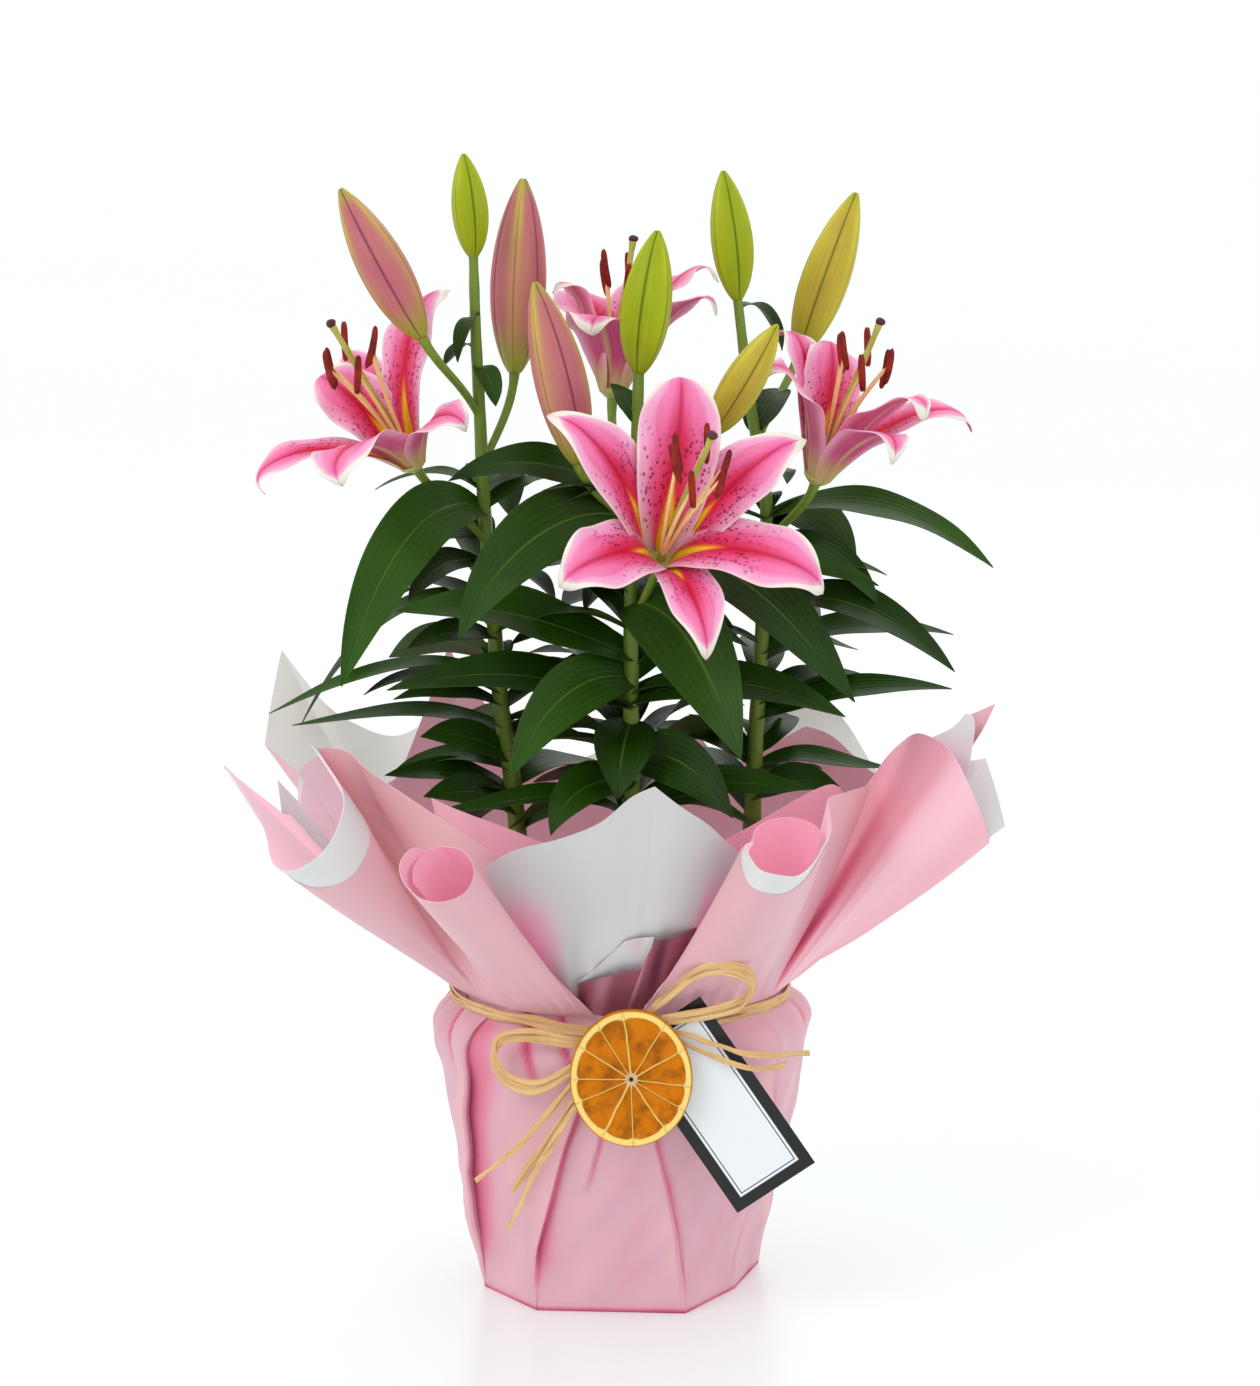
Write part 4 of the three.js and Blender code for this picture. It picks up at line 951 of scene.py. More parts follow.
def make_piece(
    name: str, surface: Surface, materials: Materials, node: str, sharp: float = 60.0
) -> bpy.types.Object:
    """Puts a surface into Blender, in metres, as the piece that replaces a CAD node.

    Args:
        name: Name of the piece.
        surface: The surface in millimetres.
        materials: Materials by slot number.
        node: The CAD node that the piece replaces.
        sharp: Angle in degrees above which an edge is sharp.

    Returns:
        The new object.
    """
    mesh = bpy.data.meshes.new(name)
    mesh.from_pydata((surface.points * MM).tolist(), [], surface.quads.tolist() + surface.tris.tolist())
    uv = np.concatenate([surface.quad_uv.reshape(-1, 2), surface.tri_uv.reshape(-1, 2)])
    mesh.uv_layers.new(name="UVMap").data.foreach_set("uv", uv.ravel())
    mesh.polygons.foreach_set("material_index", np.concatenate([surface.quad_slot, surface.tri_slot]))
    mesh.polygons.foreach_set("use_smooth", np.ones(len(mesh.polygons), bool))
    mesh.attributes.new("tone", "FLOAT", "POINT").data.foreach_set("value", surface.tone)
    for material in materials:
        mesh.materials.append(material)
    mesh.set_sharp_from_angle(angle=rad(sharp))
    mesh.update()
    piece = bpy.data.objects.new(name, mesh)
    bpy.context.collection.objects.link(piece)
    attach(piece, BODY)
    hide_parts(node)
    LOG.info("%s: %d faces for %s", name, len(mesh.polygons), node)
    return piece


# Paper.

CUP_PROFILE = np.array(
    [[0, 79], [48, 88.6], [104, 98], [130, 100.5], [146, 101.5], [155, 97], [162, 87.9], [170, 90]], float
)
BASE_CORNERS = np.array(
    [[16, 80], [60, 80], [105, 80], [150, 79], [197, 77.5], [236, 80], [296, 80], [336, 68]], float
)
PLEATS = np.array(
    [[8, 16], [70, 60], [97, 105], [168, 150], [219, 198], [265, 235], [272, 295], [322, 331]]
)
FOLD_SHARE = np.array([1.0, 0.8, 0.8, 1.5, 1.3, 1.1, 1.2, 1.0])
# Shade painted along each pleat's gutter: how far it reaches towards the next pleat, and how dark it is.
GUTTER_SHADE_REACH = np.array([0.05, 0.05, 0.05, 0.05, 0.24, 0.07, 0.06, 0.08])
GUTTER_SHADE_STRENGTH = np.array([0.4, 0.4, 0.4, 0.4, 0.75, 0.36, 0.36, 0.6])


@dataclass
class Cup:
    """The pleated paper round the pot, up to the tie."""

    thickness: float = 0.5
    fold: float = 2.6
    neck: float = NECK
    round_height: float = 120.0
    rows: int = 76
    samples: int = 400
    rounding: int = 61
    turned_under: int = 5
    flute: float = 3.0
    dent_top: tuple[float, float] = (-9.5, 108.0)
    dent_foot: tuple[float, float] = (-19.5, 66.0)

    def dent(self, x: Array, z: Array) -> tuple[Array, Array]:
        """A short crease whose left face stands proud, under the slice of orange.

        With d the distance to the right of the line from foot to top, the height is exp(-(d / 7)^2) left
        of it, and the shade exp(-((d - 1) / 1.6)^2). Both die out past the ends of the line.

        Args:
            x: Place across the front.
            z: Height.

        Returns:
            Height and shade, both from 0 to 1.
        """
        foot, top = np.array(self.dent_foot), np.array(self.dent_top)
        way = unit(top - foot)
        along = ((x - foot[0]) * way[0] + (z - foot[1]) * way[1]) / np.linalg.norm(top - foot)
        off = (x - foot[0]) * way[1] - (z - foot[1]) * way[0]
        inside = ease(along / 0.35) * (1 - ease((along - 0.9) / 0.3))
        height = bell(off, 7) * (1 - ease((off + 0.6) / 1.2))
        return height * inside, bell(off - 1, 1.6) * inside

    def columns(self) -> tuple[Array, Array, Array, Array, Array]:
        """The columns of the cup: a fold rises to its full height past the next pleat and turns back under.

        Returns:
            For each column the azimuth at the neck and at the base, the share of the fold's height, the
            share of the way to the next pleat, and that share over the reach of the pleat's shade.
        """
        share = np.concatenate(
            [np.linspace(0, 0.9, 30), np.linspace(0.92, 1.0, 5), [1.015, 1.02, 1.01, 1.0]]
        )
        rise = 0.3 * share + 0.7 * ease((share - 0.66) / 0.34)
        rise[-4:] = [1.0, 0.82, 0.5, 0.16]
        after = np.roll(PLEATS, -1, axis=0)
        after[-1] += 360
        spread = PLEATS[:, None] * (1 - share)[None, :, None] + after[:, None] * share[None, :, None]
        count = len(PLEATS)
        rises = np.outer(FOLD_SHARE, rise).ravel()
        along = np.tile(share, count)
        near = along % 1 / np.repeat(GUTTER_SHADE_REACH, len(share))
        return spread[..., 0].ravel(), spread[..., 1].ravel(), rises, along, near

    def base_share(self, azimuth: Array) -> Array:
        """How far the flat-sided base reaches: the least distance along a ray to the line of a side.

        Args:
            azimuth: Azimuth of each ray.

        Returns:
            The distances over the base's nominal radius.
        """
        corners = polar(BASE_CORNERS[:, 0], BASE_CORNERS[:, 1], 0.0)[:, :2]
        following = np.roll(corners, -1, axis=0)
        side = following - corners
        normal = np.stack([side[:, 1], -side[:, 0]], axis=-1)
        reach = np.sum(corners * normal, axis=-1)
        ray = polar(azimuth, 1.0, 0.0)[..., :2]
        facing = ray @ normal.T
        distance = np.where(facing > 1e-6, reach / np.maximum(facing, 1e-6), np.inf)
        return distance.min(axis=-1) / CUP_PROFILE[0, 1]

    def surface(self, pink: int, white: int) -> Surface:
        """The cup's wall and floor as one closed skin.

        The radius is the profile's, times the flat sides' share that fades out upwards, plus the fold,
        narrow flutes under the tie and a soft unevenness.

        Args:
            pink: Slot of the outside.
            white: Slot of the inside.

        Returns:
            The closed cup.
        """
        top, base, rise, along, near = self.columns()
        share = np.linspace(0, 1, self.rows)
        z = self.neck * (1 - (1 - share) ** 1.35)
        bend = np.interp(z, np.linspace(0, self.neck, self.samples), self.soft_profile())
        turn = (0.5 * z / self.neck + 0.5 * ease(z / self.neck))[:, None]
        azimuth = base[None] * (1 - turn) + top[None] * turn
        flat = self.base_share(azimuth)
        roundness = ease(z / self.round_height)[:, None]
        radius = bend[:, None] * (flat * (1 - roundness) + roundness)
        near_tie = ease((z - 118) / 32)[:, None]
        fade = ease(z / 40)[:, None] * (1 - ease((z - 154) / 12))[:, None]
        radius = radius + self.fold * rise[None] * fade
        arc = rad(azimuth) * 90
        level = z[:, None]
        pull = np.abs(ripple(arc / 8 + level / 26, level / 40, SEED, 6, 0.5))
        gathers = 1.7 * pull.clip(0, 1) - 0.8
        radius += self.flute * gathers * near_tie * (1 - 0.55 * ease((z - 158) / 6))[:, None]
        soft = ripple(arc / 15 + level / 60, level / 24, SEED + 1)
        creases = 0.6 * np.abs(ripple(arc / 18 - level / 34, level / 30, SEED + 2, 4)).clip(0, 1)
        creases += 0.4 * np.abs(ripple(arc / 14 + level / 18, level / 26, SEED + 5, 4)).clip(0, 1)
        radius += (0.5 * soft - 3.6 * creases) * ease(level / 25) * (1 - near_tie)
        front = np.sin(rad(azimuth)) < 0
        dent, shade = self.dent(radius * np.cos(rad(azimuth)), level)
        radius += 2.6 * dent * front
        outer = polar(azimuth, radius, z[:, None])
        inner = polar(azimuth, radius - self.thickness, np.maximum(z[:, None], self.thickness))
        rings = np.concatenate([outer, inner[::-1]])
        pleat = len(along) // len(PLEATS)
        # Painted shade: dark in each pleat's gutter and lighter just before a fold's edge, dark in the
        # valleys of the gathers under the tie, lighter and darker with the creases and swells below, dark
        # right of the dent and along the very foot.
        depth = np.repeat(GUTTER_SHADE_STRENGTH, pleat)
        gutter_shade = depth * np.exp(-(near**1.3)) - 0.14 * ease((along - 0.75) / 0.25)
        tone = PLAIN_TONE + gutter_shade[None] * fade * (1 - 0.6 * near_tie)
        tone = tone + (0.5 * bell(pull, 0.2) - 0.08 * gathers) * near_tie
        tone = tone + (
            0.2 * (0.35 - creases) - 0.06 * soft.clip(-1, 1)
        ) * (1 - near_tie) + 0.34 * shade * front
        tone = tone + 0.7 * bell(level, 2.2)
        made = skin(
            rings, np.concatenate([z, z[::-1]]), pink, np.concatenate([tone, tone[::-1]]).clip(0, 1),
        )
        folded = (made.quads % len(top) % pleat >= pleat - self.turned_under).any(axis=1)
        made.quad_slot[(made.quads.min(axis=1) >= (self.rows - 1) * len(top)) & ~folded] = white
        return made

    def soft_profile(self) -> Array:
        """The profile's radius at even heights, with its corners rounded by a moving mean."""
        z = np.linspace(-20, self.neck + 20, 1600)
        radius = np.interp(z, CUP_PROFILE[:, 0], CUP_PROFILE[:, 1])
        below = z < 0
        radius[below] = CUP_PROFILE[0, 1] + z[below] * 0.2
        mean = np.convolve(radius, np.ones(self.rounding) / self.rounding, "same")
        return np.interp(np.linspace(0, self.neck, self.samples), z, mean)


@dataclass
class Panel:
    """A panel of the collar: straight rulings from the neck to a free rim.

    Each row of the rim holds a ruling's end point and its azimuth at the neck. Each glow is a soft patch of
    painted shade where light would go to and fro in a fold: its azimuth at the neck and share along the
    rulings, its reach in both, and how much it adds to the tone. A negative glow paints the paper lighter,
    and the plain tone paints the whole panel lighter or darker.
    """

    SPAN: ClassVar[int] = 8

    rim: list[tuple[float, float, float, float]]
    sides: Sides = Sides.PINK_OUT
    out: float = 0.0
    corners: tuple[int, ...] = ()
    foot: tuple[float, float] = (89.9, 168.0)
    bow: float = 3.0
    thickness: float = 0.45
    rows: int = 30
    flute: float = 1.5
    wave: float = 1.2
    seed: int = 0
    painted_glows: tuple[tuple[float, float, float, float, float], ...] = ()
    plain: float = 0.12

    def middle(self, reach: Array | None = None, first: int = 0) -> Array:
        """The grid of middle points, rows from the neck to the rim.

        A point is foot * (1 - t) + rim * t, plus a bow of 4t(1 - t) away from the plant, flutes that die
        out upwards and a soft wave that grows towards the rim.

        Args:
            reach: For a lining, how far past the rim each ruling runs.
            first: For a lining, the first ruling it follows.

        Returns:
            The grid.
        """
        table = np.array(self.rim, float)
        table[:, 3] = np.unwrap(table[:, 3], period=360)
        samples = through(table, self.SPAN, self.corners)
        step = path_length(samples[:, :3])
        stretch = np.ones(len(samples))
        if reach is not None:
            part = slice(first * self.SPAN, (first + len(reach) - 1) * self.SPAN + 1)
            samples, step = samples[part], step[part]
            stretch = through(np.array(reach)[:, None], self.SPAN)[:, 0]
        t = np.linspace(0, 1, self.rows)[:, None] * stretch[None]
        foot = polar(samples[:, 3], self.foot[0] + self.out, self.foot[1])
        end = samples[:, :3]
        away = unit(end * [1, 1, 0] + [0, 0, -60])
        share = t[..., None]
        points = foot * (1 - share) + end * share + self.bow * 4 * share * (1 - share).clip(0) * away
        arc = rad(samples[:, 3])[None] * 90
        flutes = ripple(arc / 1.9, t * 3, SEED + self.seed, 7, 0.4) * np.exp(-((t / 0.24) ** 1.4))
        waves = ripple(step[None] / 26, t * 2.2, SEED + 40 + self.seed) * ease(t / 0.5)
        crease = np.abs(ripple(arc / 4.5 + t, t * 1.1, SEED + 80 + self.seed, 5)) * ease(t / 0.2) * (1 - t)
        lift = self.flute * flutes + self.wave * waves - 1.3 * crease.clip(-1, 1)
        return points + grid_normals(points) * lift[..., None] * ease(t * 9)[..., None]

    def blade(self, middle: Array, flip: bool = False) -> Surface:
        """The panel's blade, with its outside slot on the side that faces away from the axis.

        Args:
            middle: Grid of middle points.
            flip: Whether the sheet's other face looks out.

        Returns:
            The closed blade.
        """
        rows, columns = middle.shape[:2]
        foot = middle[1] * [1, 1, 0]
        outwards = np.sum(grid_normals(middle)[1] * foot) > 0
        slots = self.sides.value if outwards != flip else self.sides.value[::-1]
        u, v = np.linspace(0, 1, rows), np.linspace(0, 1, columns)
        return blade(middle, self.thickness, u, v, slots, self.tone(columns))

    def tone(self, columns: int) -> Array:
        """The painted shade: the plain tone plus every glow, strength * exp(-(azimuth / width)^2 - (share /
        length)^2).

        Args:
            columns: Number of rulings.

        Returns:
            The tone of each middle point.
        """
        total = np.full((self.rows, columns), self.plain)
        if self.rim:
            azimuth = through(
                np.unwrap(np.array(self.rim)[:, 3:], period=360, axis=0), self.SPAN,
            )[:, 0] % 360
            share = np.linspace(0, 1, self.rows)[:, None]
            for at, along, width, length, strength in self.painted_glows:
                total += strength * np.exp(
                    -(((azimuth - at) / width) ** 2) - ((share - along) / length) ** 2
                )
        return total.clip(0, 1)

    def surface(self) -> Surface:
        """The panel as a closed blade."""
        return self.blade(self.middle())


@dataclass
class Lining:
    """The inner sheet where it follows an outer panel into its roll and stands past the rim."""

    panel: Panel
    first: int
    reach: list[float]
    inset: float = 0.7

    def surface(self) -> Surface:
        """The panel's grid, longer, and moved to its inner side by the inset."""
        grid = self.panel.middle(np.array(self.reach), self.first)
        normals = grid_normals(grid)
        sign = -1.0 if np.sum(normals[1] * grid[1] * [1, 1, 0]) > 0 else 1.0
        lining = Panel([], Sides.WHITE_ROLL, thickness=self.panel.thickness)
        return lining.blade(grid + normals * sign * self.inset)


# Each panel's glows paint shade into its folds, a negative glow paints it lighter, and the rolls' insides
# glow with painted light.
OUTER_PANELS = {
    "sides": Panel(
        [
            (190, -15, 250, 355), (188, 22, 268, 7), (172, 52, 288, 17), (150, 66, 264, 24),
            (128, 78, 292, 32), (113, 92, 311, 39), (98, 100, 313, 46), (80, 108, 301, 53),
            (62, 112, 273, 61), (38, 128, 262, 73), (8, 140, 280, 87), (-30, 134, 262, 103),
            (-64, 122, 280, 118), (-96, 112, 300, 130), (-124, 88, 286, 144), (-150, 70, 297, 152),
            (-168, 60, 313, 160), (-186, 38, 342, 168), (-191, 14, 313, 174), (-193, -4, 297, 178),
            (-174, -20, 284, 182), (-174, -44, 250, 186), (-177, -50, 268, 188), (-209, -62, 297, 190),
            (-188, -78, 268, 194), (-177, -92, 248, 198), (-161, -110, 242, 203), (-143, -121, 247, 208),
            (-132, -122, 259, 211), (-129, -112, 272, 214), (-139, -97, 286, 217), (-151, -85, 300, 219),
            (-158, -78, 310, 221), (-143, -86, 310, 224), (-132, -94, 302, 227), (-112, -106, 291, 231),
            (-86, -119, 276, 237), (-64, -124, 262, 246),
        ],
        corners=(2, 5, 10, 13, 17, 19, 20, 21, 22, 23, 32),
        painted_glows=(
            (224.6, 0.8, 1.6, 0.16, 0.5), (236, 0.55, 2.5, 0.35, 0.08), (240, 0.15, 6, 0.35, 0.45),
            (228, 0.75, 8, 0.5, -0.3), (196, 0.1, 5, 0.3, 0.35),
        ),
        sides=Sides.PINK_THIN, seed=1,
    ),
    "scroll_left": Panel(
        [
            (-97, -157, 271, 230), (-105, -162, 274, 231), (-111, -169, 268, 233), (-109, -178, 260, 237),
            (-100, -185, 253, 242), (-88, -188, 252, 248), (-77, -182, 256, 253), (-73, -172, 265, 257),
            (-79, -162, 273, 260), (-90, -155, 274, 262),
        ],
        sides=Sides.ALL_PINK, out=1.6, wave=0.4, painted_glows=((233, 0.95, 6, 0.3, -0.3),), seed=2,
    ),
    "scroll_left_turn": Panel(
        [(-90, -155, 274, 262), (-98, -156, 271, 256), (-104, -163, 265, 249), (-104, -172, 258, 243)],
        sides=Sides.ALL_PAINTED_HOT_GLOW, out=0.4, wave=0.2,
    ),
    # Painted in deep shade all over, by its finish and its plain tone, with lighter and darker painted
    # patches.
    "low_front": Panel(
        [
            (-22, -103, 189, 256), (-4, -109, 195, 264), (11, -113, 199, 271), (15, -118, 209, 273),
            (19, -122, 217, 275), (26, -121, 217.5, 280), (34, -117, 220, 287), (42, -112, 223, 296),
        ],
        sides=Sides.SHADE, corners=(2, 4), flute=2.6, wave=0.2, plain=0.62, bow=0.0,
        painted_glows=(
            (262, 0.6, 2, 0.9, -0.5), (257, 0.3, 1.6, 0.8, 0.35), (272.5, 0.6, 0.8, 0.7, -0.6),
            (278, 0.7, 2.2, 0.5, 0.35),
        ),
        seed=3,
    ),
    "scroll_right": Panel(
        [
            (68, -150, 275, 276), (62, -156, 272, 277), (62, -166, 264, 281), (66, -175, 257, 288),
            (75, -179, 254, 296), (85, -177, 254, 304), (94, -170, 259, 312), (101, -160, 267, 319),
            (108, -146, 278, 324), (108, -134, 287, 327), (108, -118, 291, 329), (118, -92, 289, 332),
            (133, -52, 285, 336),
        ],
        sides=Sides.PINK_BLUSH, out=1.6, wave=0.4, painted_glows=((326, 0.3, 4, 0.5, 0.2), (334, 0.3, 4, 0.4, 0.3)),
        seed=4,
    ),
    "scroll_right_turn": Panel(
        [
            (68, -150, 275, 277), (70, -140, 280, 290), (78, -132, 283, 300), (89, -127, 283, 308),
            (100, -130, 280, 314), (104, -140, 276, 318),
        ],
        sides=Sides.ALL_PAINTED_HOT_GLOW, out=0.4, wave=0.2,
    ),
    "big_cone": Panel(
        [
            (120, -60, 271, 321), (133, -52, 288, 323), (144, -46, 302, 325), (157, -48, 312, 328),
            (167, -73, 313, 333), (173, -89, 309, 337), (179, -98, 299, 341), (187, -95, 282, 345),
            (193, -79, 266, 349), (196, -58, 255, 353), (198, -36, 253, 357),
        ],
        sides=Sides.CONE, out=1.2, wave=0.6,
        painted_glows=(
            (324, 0.08, 6, 0.34, 0.95), (329, 0.35, 3, 0.4, 0.4), (333, 0.75, 5, 0.4, 0.14),
            (341, 0.6, 3, 0.6, -0.3), (352, 0.5, 5, 0.6, 0.08),
        ),
        seed=5,
    ),
}

# The inner sheet's panels: front, behind it on both sides, the back and the loose corners. Their glows and
# plain tones paint light and shade, and the front and the panels behind it are paper painted in shade.
INNER_FOOT = (88.2, 170.8)
INNER_PANELS = [
    Panel(
        [
            (-70, -130, 257, 249), (-54, -139, 268, 253), (-30, -147, 276, 258), (-10, -151, 285, 264),
            (6, -155, 299, 269), (18, -157, 305, 275), (31, -153, 294, 281), (46, -143, 282, 287),
            (58, -130, 268, 292), (68, -122, 258, 298),
        ],
        sides=Sides.WHITE_PAINTED_SHADE_OUT, foot=INNER_FOOT, corners=(5,), wave=0.2,
        painted_glows=((250, 0.45, 8, 0.4, 0.5), (291, 0.5, 5, 0.4, 0.42), (266, 0.22, 12, 0.25, -0.12)), seed=11,
    ),
    Panel(
        [
            (-21, -102, 190, 257), (-9, -108, 202, 264), (3, -115, 215, 270), (10, -117, 217, 272),
            (18, -119, 218, 276), (14, -113, 203, 277),
        ],
        sides=Sides.ALL_WHITE, out=1.1, foot=INNER_FOOT, corners=(2, 4), wave=0.2, bow=0.0, plain=0.2,
        painted_glows=((262, 0.9, 2, 0.5, 0.2), (272, 0.95, 2, 0.3, 0.25)), seed=19,
    ),
    Panel(
        [(-98, -84, 285, 219), (-74, -98, 277, 231), (-52, -106, 271, 244), (-30, -112, 262, 255)],
        sides=Sides.ALL_PINK_PAINTED_SHADE, plain=0.36, painted_glows=((222, 0.9, 10, 0.4, -0.25),), out=-1.4, foot=INNER_FOOT,
        seed=12,
    ),
    Panel(
        [
            (38, -108, 257, 289), (55, -106, 267, 297), (72, -100, 275, 306), (90, -88, 283, 316),
            (104, -74, 287, 325), (114, -56, 286, 334), (120, -34, 276, 344),
        ],
        sides=Sides.ALL_PINK_PAINTED_SHADE, plain=0.3, out=-1.4, foot=INNER_FOOT, seed=13,
    ),
    Panel(
        [
            (166, -18, 272, 354), (160, 20, 282, 7), (142, 44, 272, 17), (118, 62, 290, 28),
            (103, 78, 293, 37), (84, 90, 280, 47), (60, 100, 268, 59), (38, 110, 290, 71),
            (10, 116, 270, 85), (-26, 112, 266, 103), (-60, 106, 284, 119), (-84, 97, 312, 131),
            (-97, 89, 336, 137), (-110, 72, 300, 147), (-122, 56, 272, 155), (-130, 38, 268, 164),
            (-140, 14, 274, 174), (-150, -8, 282, 183),
        ],
        sides=Sides.WHITE_BACK, foot=INNER_FOOT, corners=(1, 4, 7, 12), seed=14,
    ),
    Panel(
        [
            (174, -62, 298, 339), (193, -64, 302, 343), (200, -52, 281, 349), (206, -36, 260, 354),
            (196, -28, 250, 357),
        ],
        sides=Sides.WHITE_OUT, out=-2.0, corners=(1, 3), wave=0.3, seed=15,
    ),
    Panel(
        [
            (162, -54, 310, 335), (175, -58, 317, 338), (182, -60, 325, 340), (187, -62, 321, 341),
            (184, -66, 295, 343),
        ],
        sides=Sides.WHITE_OUT, out=-2.6, corners=(2,), wave=0.2, seed=16,
    ),
    Panel(
        [
            (181, -56, 322, 340), (198, -58, 330, 341), (192, -58, 317, 342), (184, -60, 304, 343),
            (182, -60, 294, 344),
        ],
        sides=Sides.ALL_PINK, out=-3.2, corners=(1,), wave=0.2, seed=17,
    ),
    Panel(
        [(-178, -50, 254, 187), (-182, -46, 287, 186), (-172, -42, 275, 184)], sides=Sides.ALL_WHITE,
        out=-0.6, corners=(1,), wave=0.0, seed=18,
    ),
]


@dataclass
class PaperWrap:
    """Both sheets of paper: the cup, the collar's panels and the linings."""

    palette: Palette
    cup: Cup = field(default_factory=Cup)

    def band(self) -> Surface:
        """The inner sheet's foot inside the neck, as a ring between two radii."""
        top = self.cup.columns()[0]
        z = np.linspace(146, 171.5, 10)[:, None]
        radius = np.interp(z[:, 0], CUP_PROFILE[:, 0], CUP_PROFILE[:, 1])[:, None] - 2.2
        wall = polar(top[None], radius, z)
        inside = polar(top[None], radius - 0.5, z)
        loop = np.concatenate([wall, inside[::-1], wall[:1]])
        quads, rr, cc = grid_faces(len(loop), loop.shape[1], closed=True)
        count = (len(loop) - 1) * loop.shape[1]
        return Surface(
            points=loop[:-1].reshape(-1, 3), quads=quads % count,
            quad_uv=np.stack([rr / len(loop), cc / loop.shape[1]], axis=-1),
            quad_slot=np.full(len(quads), 1), tone=np.full(count, PLAIN_TONE),
        ).outward()

    def build(self) -> None:
        """Makes both sheets."""
        outer, paper = OUTER_PANELS, self.palette.paper
        left = [0.66, 0.8, 0.85, 0.97, 1, 1, 1.01, 1.01, 1.06, 1.14, 1.2, 1.22, 1.22, 1.2, 1.1, 1]
        right = [1, 1.03, 1.08, 1.12, 1.14, 1.13, 1.1, 1.06, 1]
        linings = [Lining(outer["sides"], 17, left), Lining(outer["scroll_right"], 0, right)]
        sheet = merged([self.cup.surface(*Sides.PINK_OUT.value), *(p.surface() for p in outer.values())])
        make_piece("paper_outer", sheet, paper, "wrap_outer", 50.0)
        inner = merged([self.band(), *(p.surface() for p in [*INNER_PANELS, *linings])])
        make_piece("paper_inner", inner, paper, "wrap_inner", 50.0)


# Stems, leaves and buds.


@dataclass(frozen=True)
class Stem:
    """A stem: points from its foot in the soil to its top, and the radius at both ends."""

    path: list[Triple]
    radii: tuple[float, float]
    sides: int = 18

    def at(self, height: float) -> Array:
        """The middle of the stem at a height, by straight lines between its points."""
        table = np.array(self.path, float)
        return np.array([np.interp(height, table[:, 2], table[:, k]) for k in range(3)])

    def surface(self, slot: int) -> Surface:
        """The stem as a rod whose radius falls evenly, with faint swellings along it."""
        line = through(self.path, 24)
        share = np.linspace(0, 1, len(line))
        radius = self.radii[0] + (self.radii[1] - self.radii[0]) * share
        radius = radius * (1 + 0.04 * ripple(line[:, 2] / 3.5, 0.0, SEED, 5))
        return tube(line, radius, self.sides, (0.0, -1.0, 0.0), slot, 0.35)


@dataclass(frozen=True)
class Leaf:
    """A leaf: height of its root on the stem, tip, width, climb at root and tip, and roll, in degrees."""

    root: float
    tip: Triple
    width: float
    start: float
    end: float
    roll: float = 0.0
    rows: int = 30
    columns: int = 15
    peak: float = 0.42
    power: float = 0.95
    channel: float = 0.24
    hold: float = 0.38

    def surface(self, stem: Stem, draw: Draw) -> Surface:
        """The leaf as a blade on an arched rib, folded to a shallow channel, with a wavy margin.

        A point is rib + side * v * half + up * lift, with half from the outline, and lift as
        half * channel * |v|^1.5 plus a wave that grows to the margin.

        Args:
            stem: Stem that it grows on.
            draw: Random source.

        Returns:
            The closed blade, its upper side in slot 0 and its underside in slot 1.
        """
        base = stem.at(self.root)
        tip = np.array(self.tip, float)
        azimuth = math.degrees(math.atan2(tip[1] - base[1], tip[0] - base[0]))
        reach = self.hold * np.linalg.norm(tip - base)
        u = np.linspace(0, 1, self.rows)
        rib, tangent = bezier(
            base, base + heading(azimuth, self.start) * reach, tip - heading(azimuth, self.end) * reach,
            tip, u,
        )
        twist, wave, pitch, phase, tone = draw.uniform([-7, 0.03, 7, 0, 0], [7, 0.09, 13, math.tau, 1])
        side = np.broadcast_to(heading(azimuth + 90, 0), rib.shape)
        side = spin(side, tangent, self.roll + twist * u)
        side = unit(side - tangent * np.sum(side * tangent, axis=1, keepdims=True))
        up = np.cross(tangent, side)
        half = np.maximum(self.width / 2 * swell(0.04 + 0.96 * u, self.peak, self.power), 0.25)[:, None]
        v = np.linspace(-1, 1, self.columns)[None]
        ruffle = np.sin(
            pitch * u[:, None] + phase + 2.2 * np.sign(v)
        ) * wave * v**2 * ease(u / 0.3)[:, None]
        lift = half * (self.channel * np.abs(v) ** 1.5 + ruffle)
        middle = beside(rib[:, None], side[:, None], v * half, up[:, None], lift)
        thickness = 0.35 + 0.75 * (1 - np.abs(v)) ** 3 * (1 - 0.8 * u[:, None])
        return blade(middle, thickness, u, (v[0] + 1) / 2, (1, 0), tone)


@dataclass(frozen=True)
class Pedicel:
    """The stalk of a bud or flower: how it rises off its stem and nods into the foot."""

    radii: tuple[float, float] = (2.1, 2.5)
    rise: float = 0.42
    nod: float = 0.34
    seat: float = -1.2
    sides: int = 16

    def surface(self, start: Array, foot: Array, along: Array, slot: int) -> Surface:
        """The stalk as a rod on a cubic curve, thicker at its upper end.

        Args:
            start: Where it leaves the stem.
            foot: Foot of the bud or flower.
            along: Way that this points.
            slot: Material slot.

        Returns:
            The closed rod.
        """
        end = foot - along * self.seat
        reach = np.linalg.norm(end - start)
        leave = 0.6 * unit((end - start) * [1, 1, 0]) + [0, 0, 0.8]
        u = np.linspace(0, 1, 40)
        line, _ = bezier(start, start + leave * self.rise * reach, end - along * self.nod * reach, end, u)
        radius = self.radii[0] + (self.radii[1] - self.radii[0]) * u + 0.5 * ease((u - 0.85) / 0.15)
        facing = np.cross(along, [0.3, 1.0, 0.2])
        return tube(line, radius, self.sides, facing, slot, 0.6)


